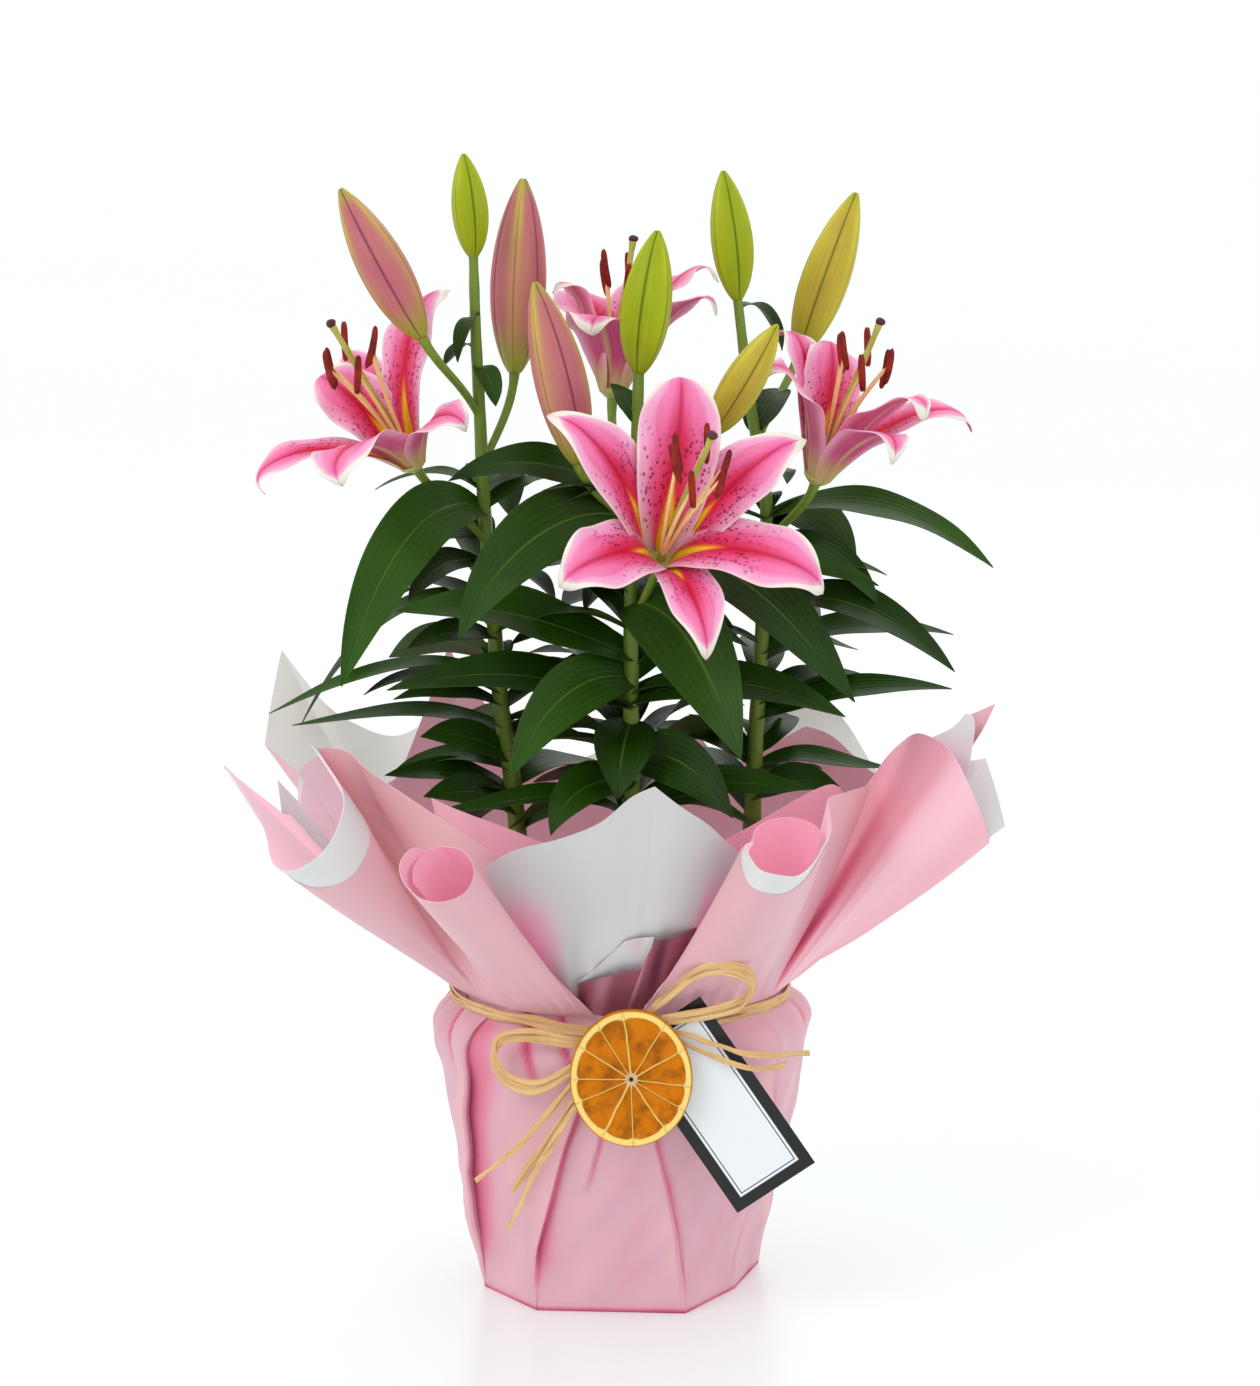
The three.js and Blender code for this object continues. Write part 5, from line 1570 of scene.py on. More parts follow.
@dataclass(frozen=True)
class Bud:
    """A closed bud: foot, tip, greatest width, its stem and the height where its stalk leaves that."""

    foot: Triple
    tip: Triple
    width: float
    stem: str
    leaves: float | None = None
    pink: bool = False
    ripe: bool = False
    rows: int = 64
    sides: int = 72
    peak: float = 0.46
    power: float = 0.82
    lobe: float = 0.06

    def along(self) -> Array:
        """The unit vector from its foot to its tip."""
        return unit(np.subtract(self.tip, self.foot).astype(float))

    def surface(self, turned: float) -> Surface:
        """The bud as a skin with three lobes, seams and ribs.

        The radius is width / 2 * outline * (1 + lobe * cos(3 * turn)), less a groove at each seam, plus a
        ridge on each lobe, and parted at the very tip.

        Args:
            turned: Angle of the first rib in degrees.

        Returns:
            The closed bud.
        """
        foot, axis = np.array(self.foot, float), np.subtract(self.tip, self.foot)
        along = self.along()
        side = unit(np.cross([0.0, 0.0, 1.0], along)) if abs(along[2]) < 0.999 else np.array([1.0, 0, 0])
        out = np.cross(along, side)
        u = 1 - np.linspace(1, 0, self.rows) ** 1.15
        turn = whole_turn(self.sides)[None]
        third = np.abs((turn * 3 / (math.tau) + 0.5) % 1 - 0.5) * 2
        outline = self.width / 2 * swell(0.03 + 0.95 * u, self.peak, self.power)[:, None]
        body = ease(u / 0.12)[:, None] * (1 - 0.3 * ease((u - 0.85) / 0.15))[:, None]
        split = 0.4 * ease((u - 0.9) / 0.1)[:, None] * bell(1 - third, 0.3)
        groove = 0.085 * bell(1 - third, 0.09) * body + split
        ridge = 0.05 * bell(third, 0.11) * body
        flank = 0.02 * bell(third - 0.3, 0.12) * body
        radius = outline * (1 + self.lobe * np.cos(3 * turn) - groove + ridge - flank)
        bend = 0.02 * self.width * np.sin(math.pi * u)[:, None]
        angle = turn + rad(turned)
        middle = foot + axis * u[:, None, None]
        rings = beside(middle, side, radius * np.cos(angle) + bend, out, radius * np.sin(angle))
        return skin(rings, u)


STEMS = {
    "left": Stem(
        path=[
            (-50, 14, 104), (-56, 15, 247), (-65, 15, 319), (-69, 12, 375), (-73, 10, 424), (-75, 8, 473),
            (-77, 6, 521), (-78, 6, 561.5),
        ],
        radii=(5.2, 2.6),
    ),
    "centre": Stem(
        path=[(4, -28, 104), (6, -32, 251), (6, -34, 328), (6, -34, 382), (8, -32, 435), (10, -30, 503.5)],
        radii=(5.2, 3),
    ),
    "right": Stem(
        path=[
            (66, 20, 104), (72, 22, 246), (74, 24, 295), (78, 26, 372), (79, 26, 427), (70, 24, 482),
            (63, 22, 537.5),
        ],
        radii=(5.2, 2.6),
    ),
}

LEAF_ROWS = {
    "left": [
        (423, (-145, -85, 344), 34, 28, -68, -44), (390, (-95, 42, 414), 34, 30, 10, 80),
        (393, (-112, -40, 382), 22, 25, -45, -21), (369, (-174, 20, 304), 26, 30, -62, -12),
        (354, (-113, -30, 355), 20, 20, -15, -29), (331, (-189, -10, 316), 22, 24, -22, -9),
        (317, (-121, -28, 327), 20, 22, -6, -24), (304, (-178, 10, 306), 24, 18, -6, -9),
        (288, (-106, -40, 309), 22, 30, 2, -58), (268, (-126, -24, 285), 24, 30, 0, -23),
        (258, (-104, -52, 279), 24, 34, 4, -52), (340, (-128, 66, 334), 26, 30, -25, 48),
        (360, (-70, 92, 350), 26, 35, -30, 0), (325, (-52, 96, 318), 24, 32, -28, 20),
        (286, (-84, 88, 300), 24, 34, -8, -30), (410, (-128, 42, 380), 28, 32, -50, -38),
        (438, (-60, 78, 410), 30, 30, -52, 0), (501, (-66, -8, 482), 15, 10, -68, 0),
        (511, (-95, 26, 500), 13, 40, -45, 0), (527, (-86, -14, 506), 12, 40, -80, 20),
    ],
    "centre": [
        (424, (-83, -100, 372), 37, 22, -62, -52), (403, (122, -98, 338), 38, 20, -48, 39),
        (380, (62, -140, 316), 44, 10, -52, 37), (352, (-116, -88, 384), 38, 24, -4, -38),
        (339, (-56, -110, 301), 31, 18, -58, -55), (316, (-1, -84, 284), 33, -12, -70, -8),
        (286, (-36, -90, 266), 27, 4, -64, -34), (400, (136, -58, 393), 28, 20, -22, 43),
        (328, (118, -80, 327), 30, 22, -22, 34), (295, (59, -94, 276), 29, 26, -44, 61),
        (325, (-122, -74, 340), 32, 24, -12, -32), (437, (-89, -70, 450), 26, 26, -24, -38),
        (438, (-40, -62, 444), 12, 30, -5, 0), (475, (-5, -8, 494), 14, 50, 10, 0),
        (262, (-98, -70, 274), 24, 38, 0, -11), (268, (105, -50, 283), 24, 36, 0, 28),
        (372, (0, 62, 366), 30, 34, -38, -20), (340, (34, 60, 330), 26, 34, -32, 30),
        (310, (-20, 66, 312), 26, 34, -22, -30), (415, (-14, 42, 410), 26, 38, -36, -30),
        (300, (-66, 34, 304), 28, 34, -14, 20), (276, (58, 36, 276), 26, 36, -10, -10),
        (262, (22, 46, 268), 26, 40, -10, 0), (322, (78, 24, 318), 28, 34, -20, -12),
        (350, (-60, 36, 346), 28, 34, -24, 14), (270, (-48, 44, 268), 26, 40, -10, 20),
        (360, (64, 34, 352), 28, 34, -28, -16), (302, (-44, 34, 322), 28, 44, 6, 24),
        (296, (52, 30, 320), 28, 44, 6, -24), (286, (-40, 30, 298), 28, 44, 4, 20),
        (318, (46, 44, 330), 26, 40, 0, -20), (296, (-72, 52, 294), 30, 38, -4, 26),
        (292, (62, 56, 292), 30, 38, -4, -26), (384, (-68, 50, 382), 30, 34, -20, 20),
        (368, (-32, 66, 362), 30, 34, -20, 10), (330, (-50, 60, 338), 30, 34, -8, 10),
        (346, (54, 62, 346), 30, 34, -10, -12),
    ],
    "right": [
        (418, (199, -20, 397), 27, 22, -38, 21), (415, (130, 62, 388), 30, 28, -50, -30),
        (421, (83, 66, 426), 16, 40, 0, 0), (366, (179, -22, 341), 30, 30, -40, 22),
        (344, (182, 34, 352), 26, 22, -12, 20), (308, (180, 10, 326), 26, 22, -4, 22),
        (264, (117, -34, 281), 22, 34, 0, 48), (279, (148, 24, 280), 22, 30, 0, 11),
        (283, (38, 44, 306), 20, 48, 18, 0), (289, (99, 66, 300), 22, 40, -10, 22),
        (330, (80, 100, 330), 26, 34, -25, 20), (360, (112, 96, 352), 28, 34, -35, 40),
        (392, (70, 94, 376), 28, 34, -48, 0), (312, (138, 72, 322), 24, 30, -14, 16),
        (400, (140, 4, 372), 26, 26, -56, 20), (440, (92, 72, 430), 24, 40, -45, 30),
        (465, (92, 56, 484), 24, 48, 0, 0), (531, (88, 48, 506), 12, 30, -84, 0),
    ],
}
LEAVES = {name: [Leaf(*row) for row in rows] for name, rows in LEAF_ROWS.items()}

BUDS = {
    "bud_a": Bud((-104, -31, 521), (-145, -48, 600), 25.5, "left", leaves=474, pink=True),
    "bud_b": Bud((-78, 6, 560), (-83, 6, 615), 19, "left"),
    "bud_c": Bud((-57, 30, 496), (-52, 35, 600), 30, "left", leaves=448, pink=True),
    "bud_d": Bud((-22, -52, 457), (-44, -67, 553), 27, "centre", leaves=418, pink=True),
    "bud_e": Bud((10, -30, 502), (20, -30, 577), 26, "centre"),
    "bud_f": Bud((48, -39, 471), (82, -56, 530), 21, "centre", leaves=440, ripe=True),
    "bud_g": Bud((63, 22, 536), (55, 22, 605), 22, "right"),
    "bud_h": Bud((98, 64, 503), (128, 56, 591), 26, "right", leaves=458, ripe=True),
}


# Open flowers.


@dataclass(frozen=True)
class TepalShape:
    """A kind of tepal: taper is the share of width lost to the tip, hook how far the tip turns back."""

    root: float
    open: float
    peak: float
    power: float
    cup: float
    roll: float
    ruffle: float
    hook: float
    taper: float = 0.42


PETAL = TepalShape(root=5, open=10, peak=0.56, power=0.64, cup=0.32, roll=0.34, ruffle=2.4, hook=7)
SEPAL = TepalShape(root=7, open=19, peak=0.52, power=0.7, cup=0.28, roll=0.2, ruffle=1.3, hook=6)


@dataclass(frozen=True)
class Tepal:
    """A tepal: tip, width, how far the tip rolls back in degrees, and its kind."""

    tip: Triple
    width: float
    back: float
    shape: TepalShape
    rows: int = 56
    columns: int = 29
    hold: float = 0.42
    tip_hold: float = 0.33

    def surface(self, foot: Array, axis: Array, draw: Draw) -> Surface:
        """The tepal as a blade that leaves the throat, opens out and rolls back at its tip.

        A point is rib + across * v * half + inner * lift, with lift as half * (cup * (1 - u) - roll * u^2)
        * v^2, plus a ruffle that grows to the margin, less a groove along the rib.

        Args:
            foot: Foot of the flower.
            axis: Way that the flower faces.
            draw: Random source.

        Returns:
            The closed blade, its inside in slot 0 and its outside in slot 1.
        """
        end = np.array(self.tip, float)
        reach = end - foot
        radial = unit(reach - axis * (reach @ axis))
        length = np.linalg.norm(reach)

        def lean(degrees: float) -> Array:
            """The axis leaned outwards."""
            return axis * math.cos(rad(degrees)) + radial * math.sin(rad(degrees))

        shape = self.shape
        start = foot + radial * shape.root + axis
        u = np.linspace(0, 1, self.rows)
        rib, tangent = bezier(
            start, start + lean(shape.open) * self.hold * length,
            end - lean(90 + self.back) * self.tip_hold * length, end, u,
        )
        across = np.cross(axis, radial)
        inner = np.cross(tangent, across)[:, None]
        rib = rib - inner[:, 0] * shape.hook * (((u - 0.74) / 0.26).clip(0, 1) ** 2)[:, None]
        taper = 1 - shape.taper * ease((u - 0.6) / 0.4)
        half = np.maximum(
            self.width / 2 * swell(0.05 + 0.95 * u, shape.peak, shape.power) * taper, 0.3,
        )[:, None]
        v = np.linspace(-1, 1, self.columns)[None]
        run = u[:, None]
        lift = half * (shape.cup * (1 - run) - shape.roll * run**2) * v**2
        pitch, phase, other = draw.uniform([15, 0, 0], [20, math.tau, math.tau])
        ruffle = np.where(v < 0, np.sin(pitch * run + phase), np.sin(0.9 * pitch * run + other))
        margin = np.abs(v) ** 3 * ease((run - 0.22) / 0.3) * (1 - 0.5 * ease((run - 0.85) / 0.15))
        lift = lift + shape.ruffle * ruffle * margin
        lift = lift - 0.9 * bell(v, 0.13) * ease(run / 0.1) * (1 - ease((run - 0.7) / 0.3))
        lift = lift + 0.35 * bell(np.abs(v) - 0.3, 0.14) * (1 - run)
        middle = beside(rib[:, None], across, v * half, inner, lift)
        thickness = (1.0 - 0.45 * run) * (1 - 0.55 * np.abs(v) ** 2)
        return blade(middle, thickness, u, (v[0] + 1) / 2, (1, 0), draw.uniform(0, 1))


@dataclass(frozen=True)
class Receptacle:
    """The green cone that the tepals stand on: its reach along the axis and its radii."""

    below: float = 2.0
    above: float = 3.5
    foot: float = 3.6
    top: float = 8.0

    def surface(self, foot: Array, axis: Array, slot: int) -> Surface:
        """The cone with rounded shoulders: the radius rises as a sine from foot to top."""
        u = np.linspace(0, 1, 10)
        line = foot + axis * (u * (self.above + self.below) - self.below)[:, None]
        radius = self.foot + (self.top - self.foot) * np.sin(u * math.pi / 2)
        return tube(line, radius, 24, np.cross(axis, [0.2, 1.0, 0.1]), slot, 0.9)


@dataclass(frozen=True)
class Stamens:
    """Six filaments with their anthers, the ovary, the style and the stigma."""

    count: int = 6
    length: float = 0.8
    spread: float = 14.0
    filament: float = 1.15
    anther: float = 21.5
    anther_radius: float = 1.8
    lean: float = 0.22
    seat: float = 4.2
    ovary_top: float = 16.0
    stigma: float = 2.7

    def axes(self, aim: Array) -> tuple[Array, Array]:
        """Two unit vectors across the aim, the first of them level from front to back."""
        side = unit(np.cross([0.0, 1.0, 0.0], aim))
        return side, np.cross(aim, side)

    def pistil(self, foot: Array, way: Array, top: Array) -> list[Surface]:
        """The ovary, the curved style and the three-lobed stigma.

        Args:
            foot: Foot of the flower.
            way: Way that the flower faces.
            top: Where the stigma is.

        Returns:
            The closed surfaces.
        """
        u = np.linspace(0, 1, 14)
        line = foot + way * (self.seat + (self.ovary_top + 2 - self.seat) * u)[:, None]
        ovary = tube(line, 2.6 - 0.5 * u, 18, self.axes(way)[1], 2, 0.2)
        throat = foot + way * self.ovary_top
        reach = np.linalg.norm(top - foot)
        u = np.linspace(0, 1, 36)
        aim = unit(top - foot)
        line, _ = bezier(throat, throat + way * 0.3 * reach, top - aim * 0.3 * reach, top, u)
        style = tube(line, 1.9 - 0.4 * u + 0.6 * ease((u - 0.9) / 0.1), 12, self.axes(aim)[1], 2, 0.5)
        side, out = self.axes(aim)
        rise = np.linspace(-1, 1, 15)
        turn = whole_turn(30)[None]
        radius = self.stigma * np.sqrt(np.maximum(1 - rise**2, 0.001))[:, None]
        radius = radius * (1 + 0.14 * np.cos(3 * turn) * (0.5 + 0.5 * rise[:, None]))
        middle = top + aim * (0.9 + rise * 2.1)[:, None, None]
        rings = beside(middle, side, radius * np.cos(turn), out, radius * np.sin(turn))
        return [ovary, style, skin(rings, rise, 3)]

    def surface(self, foot: Array, way: Array, top: Array, draw: Draw) -> Surface:
        """All the parts in the throat of one flower.

        A filament runs on a cubic curve from the ovary to the spread off the pistil. An anther is a capsule
        of two lobes, with a radius of sqrt(1 - s^4), balanced on the filament's end.

        Args:
            foot: Foot of the flower.
            way: Way that the flower faces.
            top: Where the stigma is.
            draw: Random source.

        Returns:
            The surfaces in one.
        """
        aim, length = unit(top - foot), np.linalg.norm(top - foot)
        side, out = self.axes(aim)
        parts = self.pistil(foot, way, top)
        for k in range(self.count):
            turn = rad(360 * (k + 0.5) / self.count)
            away = side * math.cos(turn) + out * math.sin(turn)
            end = foot + aim * self.length * length * (1 if k % 2 else 0.92) + away * self.spread
            start = foot + way * (self.seat + 5) + away
            bend = start + way * 0.35 * length + away * 3.5
            u = np.linspace(0, 1, 30)
            line, _ = bezier(start, start + (bend - start) * 0.8, bend + (end - bend) * 0.35, end, u)
            parts.append(tube(line, self.filament * (1.1 - 0.45 * u), 10, away, 0))
            lean = unit(np.array([0.0, 0.0, 1.0]) + away * self.lean + draw.normal(0, 0.06, 3))
            s = np.linspace(-1, 1, 30)
            s = np.sign(s) * np.abs(s) ** 1.6
            bow = away * 0.8 * (1 - s[:, None] ** 2)
            line = end + lean * (s * self.anther / 2)[:, None] + bow
            radius = self.anther_radius * np.sqrt(np.maximum(1 - s**4, 0.004))
            for shift in (-0.32, 0.32):
                lobe = line + np.cross(lean, away) * shift * self.anther_radius
                parts.append(tube(lobe, np.stack([radius * 0.75, radius * 0.9], axis=-1), 12, away, 1))
        return merged(parts)


@dataclass(frozen=True)
class Flower:
    """An open flower: foot, axis, stem, height where its stalk leaves, stigma and tepals in turn."""

    foot: Triple
    axis: Triple
    stem: str
    leaves: float
    stigma: Triple
    tepals: list[Tepal]

    def way(self) -> Array:
        """The unit vector that the flower faces."""
        return unit(np.array(self.axis, float))

    def bloom(self, draw: Draw) -> Surface:
        """The receptacle and the tepals, in one."""
        foot = np.array(self.foot, float)
        cone = Receptacle().surface(foot, self.way(), 2)
        return merged([cone, *(t.surface(foot, self.way(), draw) for t in self.tepals)])


FLOWERS = {
    "left": Flower(
        foot=(-109, -15, 451), axis=(-0.43, -0.36, 0.83), stem="left", leaves=405, stigma=(-150, -55, 530),
        tepals=[
            Tepal((-93, 26, 547), 32, 20, PETAL), Tepal((-149, 28, 510), 27, 15, SEPAL),
            Tepal((-166, -2, 498), 37, 15, PETAL), Tepal((-193, -38, 437), 28, 75, SEPAL),
            Tepal((-146, -90, 448), 40, 70, PETAL), Tepal((-76, -74, 477), 28, 80, SEPAL),
        ],
    ),
    "front": Flower(
        foot=(21, -62, 406), axis=(0.16, -0.76, 0.63), stem="centre", leaves=366, stigma=(47, -126, 480),
        tepals=[
            Tepal((31, -66, 509), 43, 48, PETAL), Tepal((99, -78, 476), 35, 15, SEPAL),
            Tepal((110, -112, 397), 39, 50, PETAL), Tepal((46, -134, 365), 30, 45, SEPAL),
            Tepal((-34, -124, 402), 39, 50, PETAL), Tepal((-38, -94, 491), 35, 20, SEPAL),
        ],
    ),
    "right": Flower(
        foot=(105, -5, 442), axis=(0.3, -0.2, 0.93), stem="right", leaves=400, stigma=(137, -25, 528),
        tepals=[
            Tepal((110, 34, 517), 34, 15, PETAL), Tepal((193, 8, 470), 28, 35, SEPAL),
            Tepal((165, -50, 482), 36, 45, PETAL), Tepal((144, -80, 460), 28, 65, SEPAL),
            Tepal((72, -34, 507), 40, 30, PETAL), Tepal((84, 26, 522), 26, 25, SEPAL),
        ],
    ),
    "back": Flower(
        foot=(-4, 40, 483), axis=(0.08, 0.06, 0.995), stem="centre", leaves=425, stigma=(7, 46, 566),
        tepals=[
            Tepal((-38, 26, 545), 28, 25, SEPAL), Tepal((-16, -14, 524), 40, 60, PETAL),
            Tepal((56, 12, 532), 27, 50, SEPAL), Tepal((58, 52, 548), 42, 35, PETAL),
            Tepal((18, 112, 534), 28, 40, SEPAL), Tepal((-32, 98, 532), 42, 30, PETAL),
        ],
    ),
}


@dataclass
class Foliage:
    """More leaves on the sides and back of a stem, in a spiral by the golden angle.

    Below the collar's rim a tip is drawn in to the room inside the paper, which widens upwards.
    """

    low: float = 246.0
    high: float = 436.0
    step: float = 8.5
    golden: float = 137.5
    length: tuple[float, float] = (80.0, 56.0)
    width: float = 26.0
    front: tuple[float, float] = (222.0, 318.0)
    rim: float = 318.0
    room: tuple[float, float] = (80.0, 0.4)

    def leaves(self, stem: Stem, draw: Draw) -> list[Leaf]:
        """The leaves of one stem, with none towards the front.

        Args:
            stem: The stem.
            draw: Random source.

        Returns:
            The leaves.
        """
        made = []
        azimuth = draw.uniform(0, 360)
        for height in np.arange(self.low, self.high, self.step):
            azimuth = (azimuth + self.golden + draw.normal(0, 9)) % 360
            up = (height - self.low) / (self.high - self.low)
            reach = (self.length[0] + (self.length[1] - self.length[0]) * up) * draw.uniform(0.85, 1.1)
            drop = draw.uniform(-0.35, 0.25)
            climb, droop = draw.uniform(28, 44), draw.uniform(-45, -8)
            if self.front[0] < azimuth < self.front[1]:
                continue
            tip = stem.at(height) + polar(azimuth, reach, reach * drop)
            room = self.room[0] + self.room[1] * (tip[2] - NECK)
            if tip[2] < self.rim:
                tip[:2] *= min(1.0, room / math.hypot(tip[0], tip[1]))
            width = self.width * (1 - 0.25 * up) * draw.uniform(0.85, 1.1)
            made.append(Leaf(height, tuple(tip), width, climb, droop, draw.uniform(-12, 12)))
        return made


@dataclass
class Lily:
    """The three stems with leaves and stalks, the eight buds and the four open flowers."""

    palette: Palette
    foliage: Foliage = field(default_factory=Foliage)
    pedicel: Pedicel = field(default_factory=Pedicel)
    stamens: Stamens = field(default_factory=Stamens)

    def stalks(self, name: str) -> list[Surface]:
        """The stalks of buds and flowers.

        Args:
            name: Name of the stem that they leave.

        Returns:
            The closed stalks.
        """
        stem = STEMS[name]
        made = []
        for bud in BUDS.values():
            if bud.stem == name and bud.leaves is not None:
                foot = np.array(bud.foot, float)
                made.append(self.pedicel.surface(stem.at(bud.leaves), foot, bud.along(), 2))
        for flower in FLOWERS.values():
            if flower.stem == name:
                foot = np.array(flower.foot, float) - flower.way() * Receptacle().below
                made.append(self.pedicel.surface(stem.at(flower.leaves), foot, flower.way(), 2))
        return made

    def build(self) -> None:
        """Makes every piece of the plant."""
        for k, (name, stem) in enumerate(STEMS.items()):
            draw = np.random.default_rng(SEED + 100 + k)
            leaves = LEAVES[name] + self.foliage.leaves(stem, draw)
            parts = [stem.surface(2), *self.stalks(name), *(leaf.surface(stem, draw) for leaf in leaves)]
            node = f"stem_{name}"
            make_piece(f"leafy_{name}", merged(parts), self.palette.leaf, node, 70.0)
        for k, (name, bud) in enumerate(BUDS.items()):
            finish = self.palette.pink_bud if bud.pink else self.palette.green_bud
            finish = self.palette.ripe_bud if bud.ripe else finish
            make_piece(f"closed_{name}", bud.surface(35.0 + 47.0 * k), finish, name, 80.0)
        for k, (name, flower) in enumerate(FLOWERS.items()):
            draw = np.random.default_rng(SEED + 200 + k)
            node = f"bloom_{name}"
            make_piece(f"open_{name}", flower.bloom(draw), self.palette.petal, node, 75.0)
            foot, top = np.array(flower.foot, float), np.array(flower.stigma, float)
            inside = self.stamens.surface(foot, flower.way(), top, draw)
            node = f"stamens_{name}"
            make_piece(f"throat_{name}", inside, self.palette.stamen, node, 80.0)


# The tie with what hangs on it.

RAFFIA_ENDS = [
    [(-2, -104, 158), (-24, -107, 138), (-50, -98, 104), (-77, -76, 75)],
    [(0, -104, 158), (-20, -107.5, 130), (-40, -99, 98), (-57, -84, 71)],
    [(2, -104, 158), (-22, -107.5, 126), (-40, -98, 94), (-60, -80, 49)],
    [(8, -106, 167), (14, -113, 170), (38, -113, 163), (68, -112.8, 154), (101, -68, 143)],
    [(8, -106, 167), (14, -113, 168.5), (38, -113, 158), (68, -112.8, 146), (88, -80, 140)],
]
RAFFIA_LOOPS = [
    [
        (0, -104, 160), (-23, -106, 158), (-46, -100, 160), (-62, -93, 156), (-67, -92, 146),
        (-60, -94, 135), (-44, -100, 132), (-24, -106, 144), (0, -105, 158),
    ],
    [
        (8, -104, 166), (20, -113, 180), (38, -124, 198), (54, -128, 203), (67, -126, 198),
        (65, -121, 184), (48, -115, 176), (32, -112.6, 172.5), (20, -111.4, 171), (8, -104, 164),
    ],
]


@dataclass
class RaffiaTie:
    """Flat dry strands: a ring round the neck, two loops, loose ends and the knot between them."""

    palette: Palette
    ring_radius: float = 92.0
    ring_height: float = 163.4
    forward: float = 6.2
    drop: float = 1.6
    knot_azimuth: float = 270.0
    knot: Triple = (6.0, -102.0, 163.0)
    knot_size: Triple = (8.6, 6.6, 6.0)
    width: float = 3.2
    thickness: float = 0.5

    def strand(self, path: Array, facing: Array, draw: Draw, scale: float = 1.0) -> Surface:
        """One strand: a flat rod whose width wavers and whose flat side turns a little.

        Args:
            path: Points of its middle line.
            facing: Way its flat side faces at each point.
            draw: Random source.
            scale: Share of the usual width.

        Returns:
            The closed strand.
        """
        length = path_length(path)
        seed = int(draw.integers(1, 9999))
        tangent = unit(np.gradient(path, axis=0))
        turned = spin(unit(facing), tangent, 26 * ripple(length / 9, 0.0, seed, 4))
        width = self.width * scale * (1 + 0.16 * ripple(length / 6, 0.0, seed + 1, 4))
        radii = np.stack([width / 2, np.full(len(path), self.thickness / 2)], axis=-1)
        return tube(path, radii, 12, turned, 0, draw.uniform(0, 1))

    def ring(self, draw: Draw) -> list[Surface]:
        """The strands round the neck. Near the knot they move out by `forward` and down by `drop`.

        Args:
            draw: Random source.

        Returns:
            The closed strands.
        """
        made = []
        azimuth = np.linspace(self.knot_azimuth - 2, self.knot_azimuth + 362, 300)
        near = ease((np.cos(rad(azimuth - self.knot_azimuth)) - 0.84) / 0.16)
        for k, (lift, depth) in enumerate([(-2.0, 0.1), (-0.6, 0.9), (0.8, 0.2), (2.0, 0.7)]):
            seed = SEED + 300 + k
            sway = 0.9 * ripple(rad(azimuth) * 6, 0.0, seed, 5) * (1 - 0.6 * near)
            radius = self.ring_radius + self.forward * near + depth - 0.2
            radius = radius + 0.25 * ripple(rad(azimuth) * 9, 1.0, seed, 5)
            z = self.ring_height - self.drop * near + lift + sway
            path = polar(azimuth, radius, z)
            made.append(self.strand(path, path * [1, 1, 0], draw, 0.95))
        return made

    def fan(self, points: list[Triple], shifts: list[Triple], draw: Draw, scale: float) -> list[Surface]:
        """Strands side by side along one path, which they share at its ends and leave in between.

        Args:
            points: Points of the path.
            shifts: Each strand's way off the path at its middle.
            draw: Random source.
            scale: Share of the usual width.

        Returns:
            The closed strands.
        """
        made = []
        line = through(points, 14)
        share = np.linspace(0, 1, len(line))[:, None]
        spread = np.sin(math.pi * share) ** 0.6
        facing = np.broadcast_to(unit(np.mean(points, axis=0) * [1, 1, 0]), line.shape)
        for shift in shifts:
            seed = int(draw.integers(1, 9999))
            sway = 0.5 * np.stack([ripple(share[:, 0] * 14, 3.0 * k, seed, 4) for k in range(3)], axis=-1)
            made.append(self.strand(line + np.array(shift) * spread + sway * spread, facing, draw, scale))
        return made

    def knot_wraps(self, draw: Draw) -> list[Surface]:
        """The knot: a core and strands side by side that go over it from top to bottom.

        Args:
            draw: Random source.

        Returns:
            The closed strands and the core.
        """
        made = []
        centre = np.array(self.knot)
        turn = np.linspace(0, math.tau, 60)
        for x in np.linspace(-0.72, 0.72, 5):
            girth = math.sqrt(1 - x * x)
            ring = np.stack([x + 0 * turn, -girth * np.cos(turn), girth * np.sin(turn)], axis=-1)
            ring = ring * self.knot_size
            lean = np.array([1.4, 0, 0]) * np.sin(turn)[:, None]
            made.append(self.strand(centre + ring + lean, ring * [0, 1, 1], draw, 1.25))
        u = np.linspace(-1, 1, 16)
        core = centre + np.array([1.0, 0, 0]) * (u * self.knot_size[0] * 0.9)[:, None]
        girth = np.sqrt(np.maximum(1 - u**2, 0.02))
        radii = girth[:, None] * self.knot_size[1:] * 0.85
        made.append(tube(core, radii, 20, (0.0, 0.0, 1.0)))
        return made

    def build(self) -> None:
        """Makes the tie."""
        draw = np.random.default_rng(SEED + 310)
        parts = self.ring(draw) + self.knot_wraps(draw)
        loop_shifts = [(0, 0, 0), (1.5, -0.6, 2.4), (-1.4, 0.5, -2.2), (0.6, -1.0, 4.2)]
        for points in RAFFIA_LOOPS:
            parts += self.fan(points, loop_shifts, draw, 0.95)
        for points in RAFFIA_ENDS:
            parts += self.fan(points, [(0, 0, 0)], draw, 0.95)
        parts += self.fan(RAFFIA_ENDS[0], [(3.2, -0.4, 2.2)], draw, 0.6)
        parts += self.fan(RAFFIA_ENDS[1], [(-3.4, -0.6, 0.8)], draw, 0.7)
        make_piece("raffia_bow", merged(parts), self.palette.raffia, "raffia_tie", 50.0)


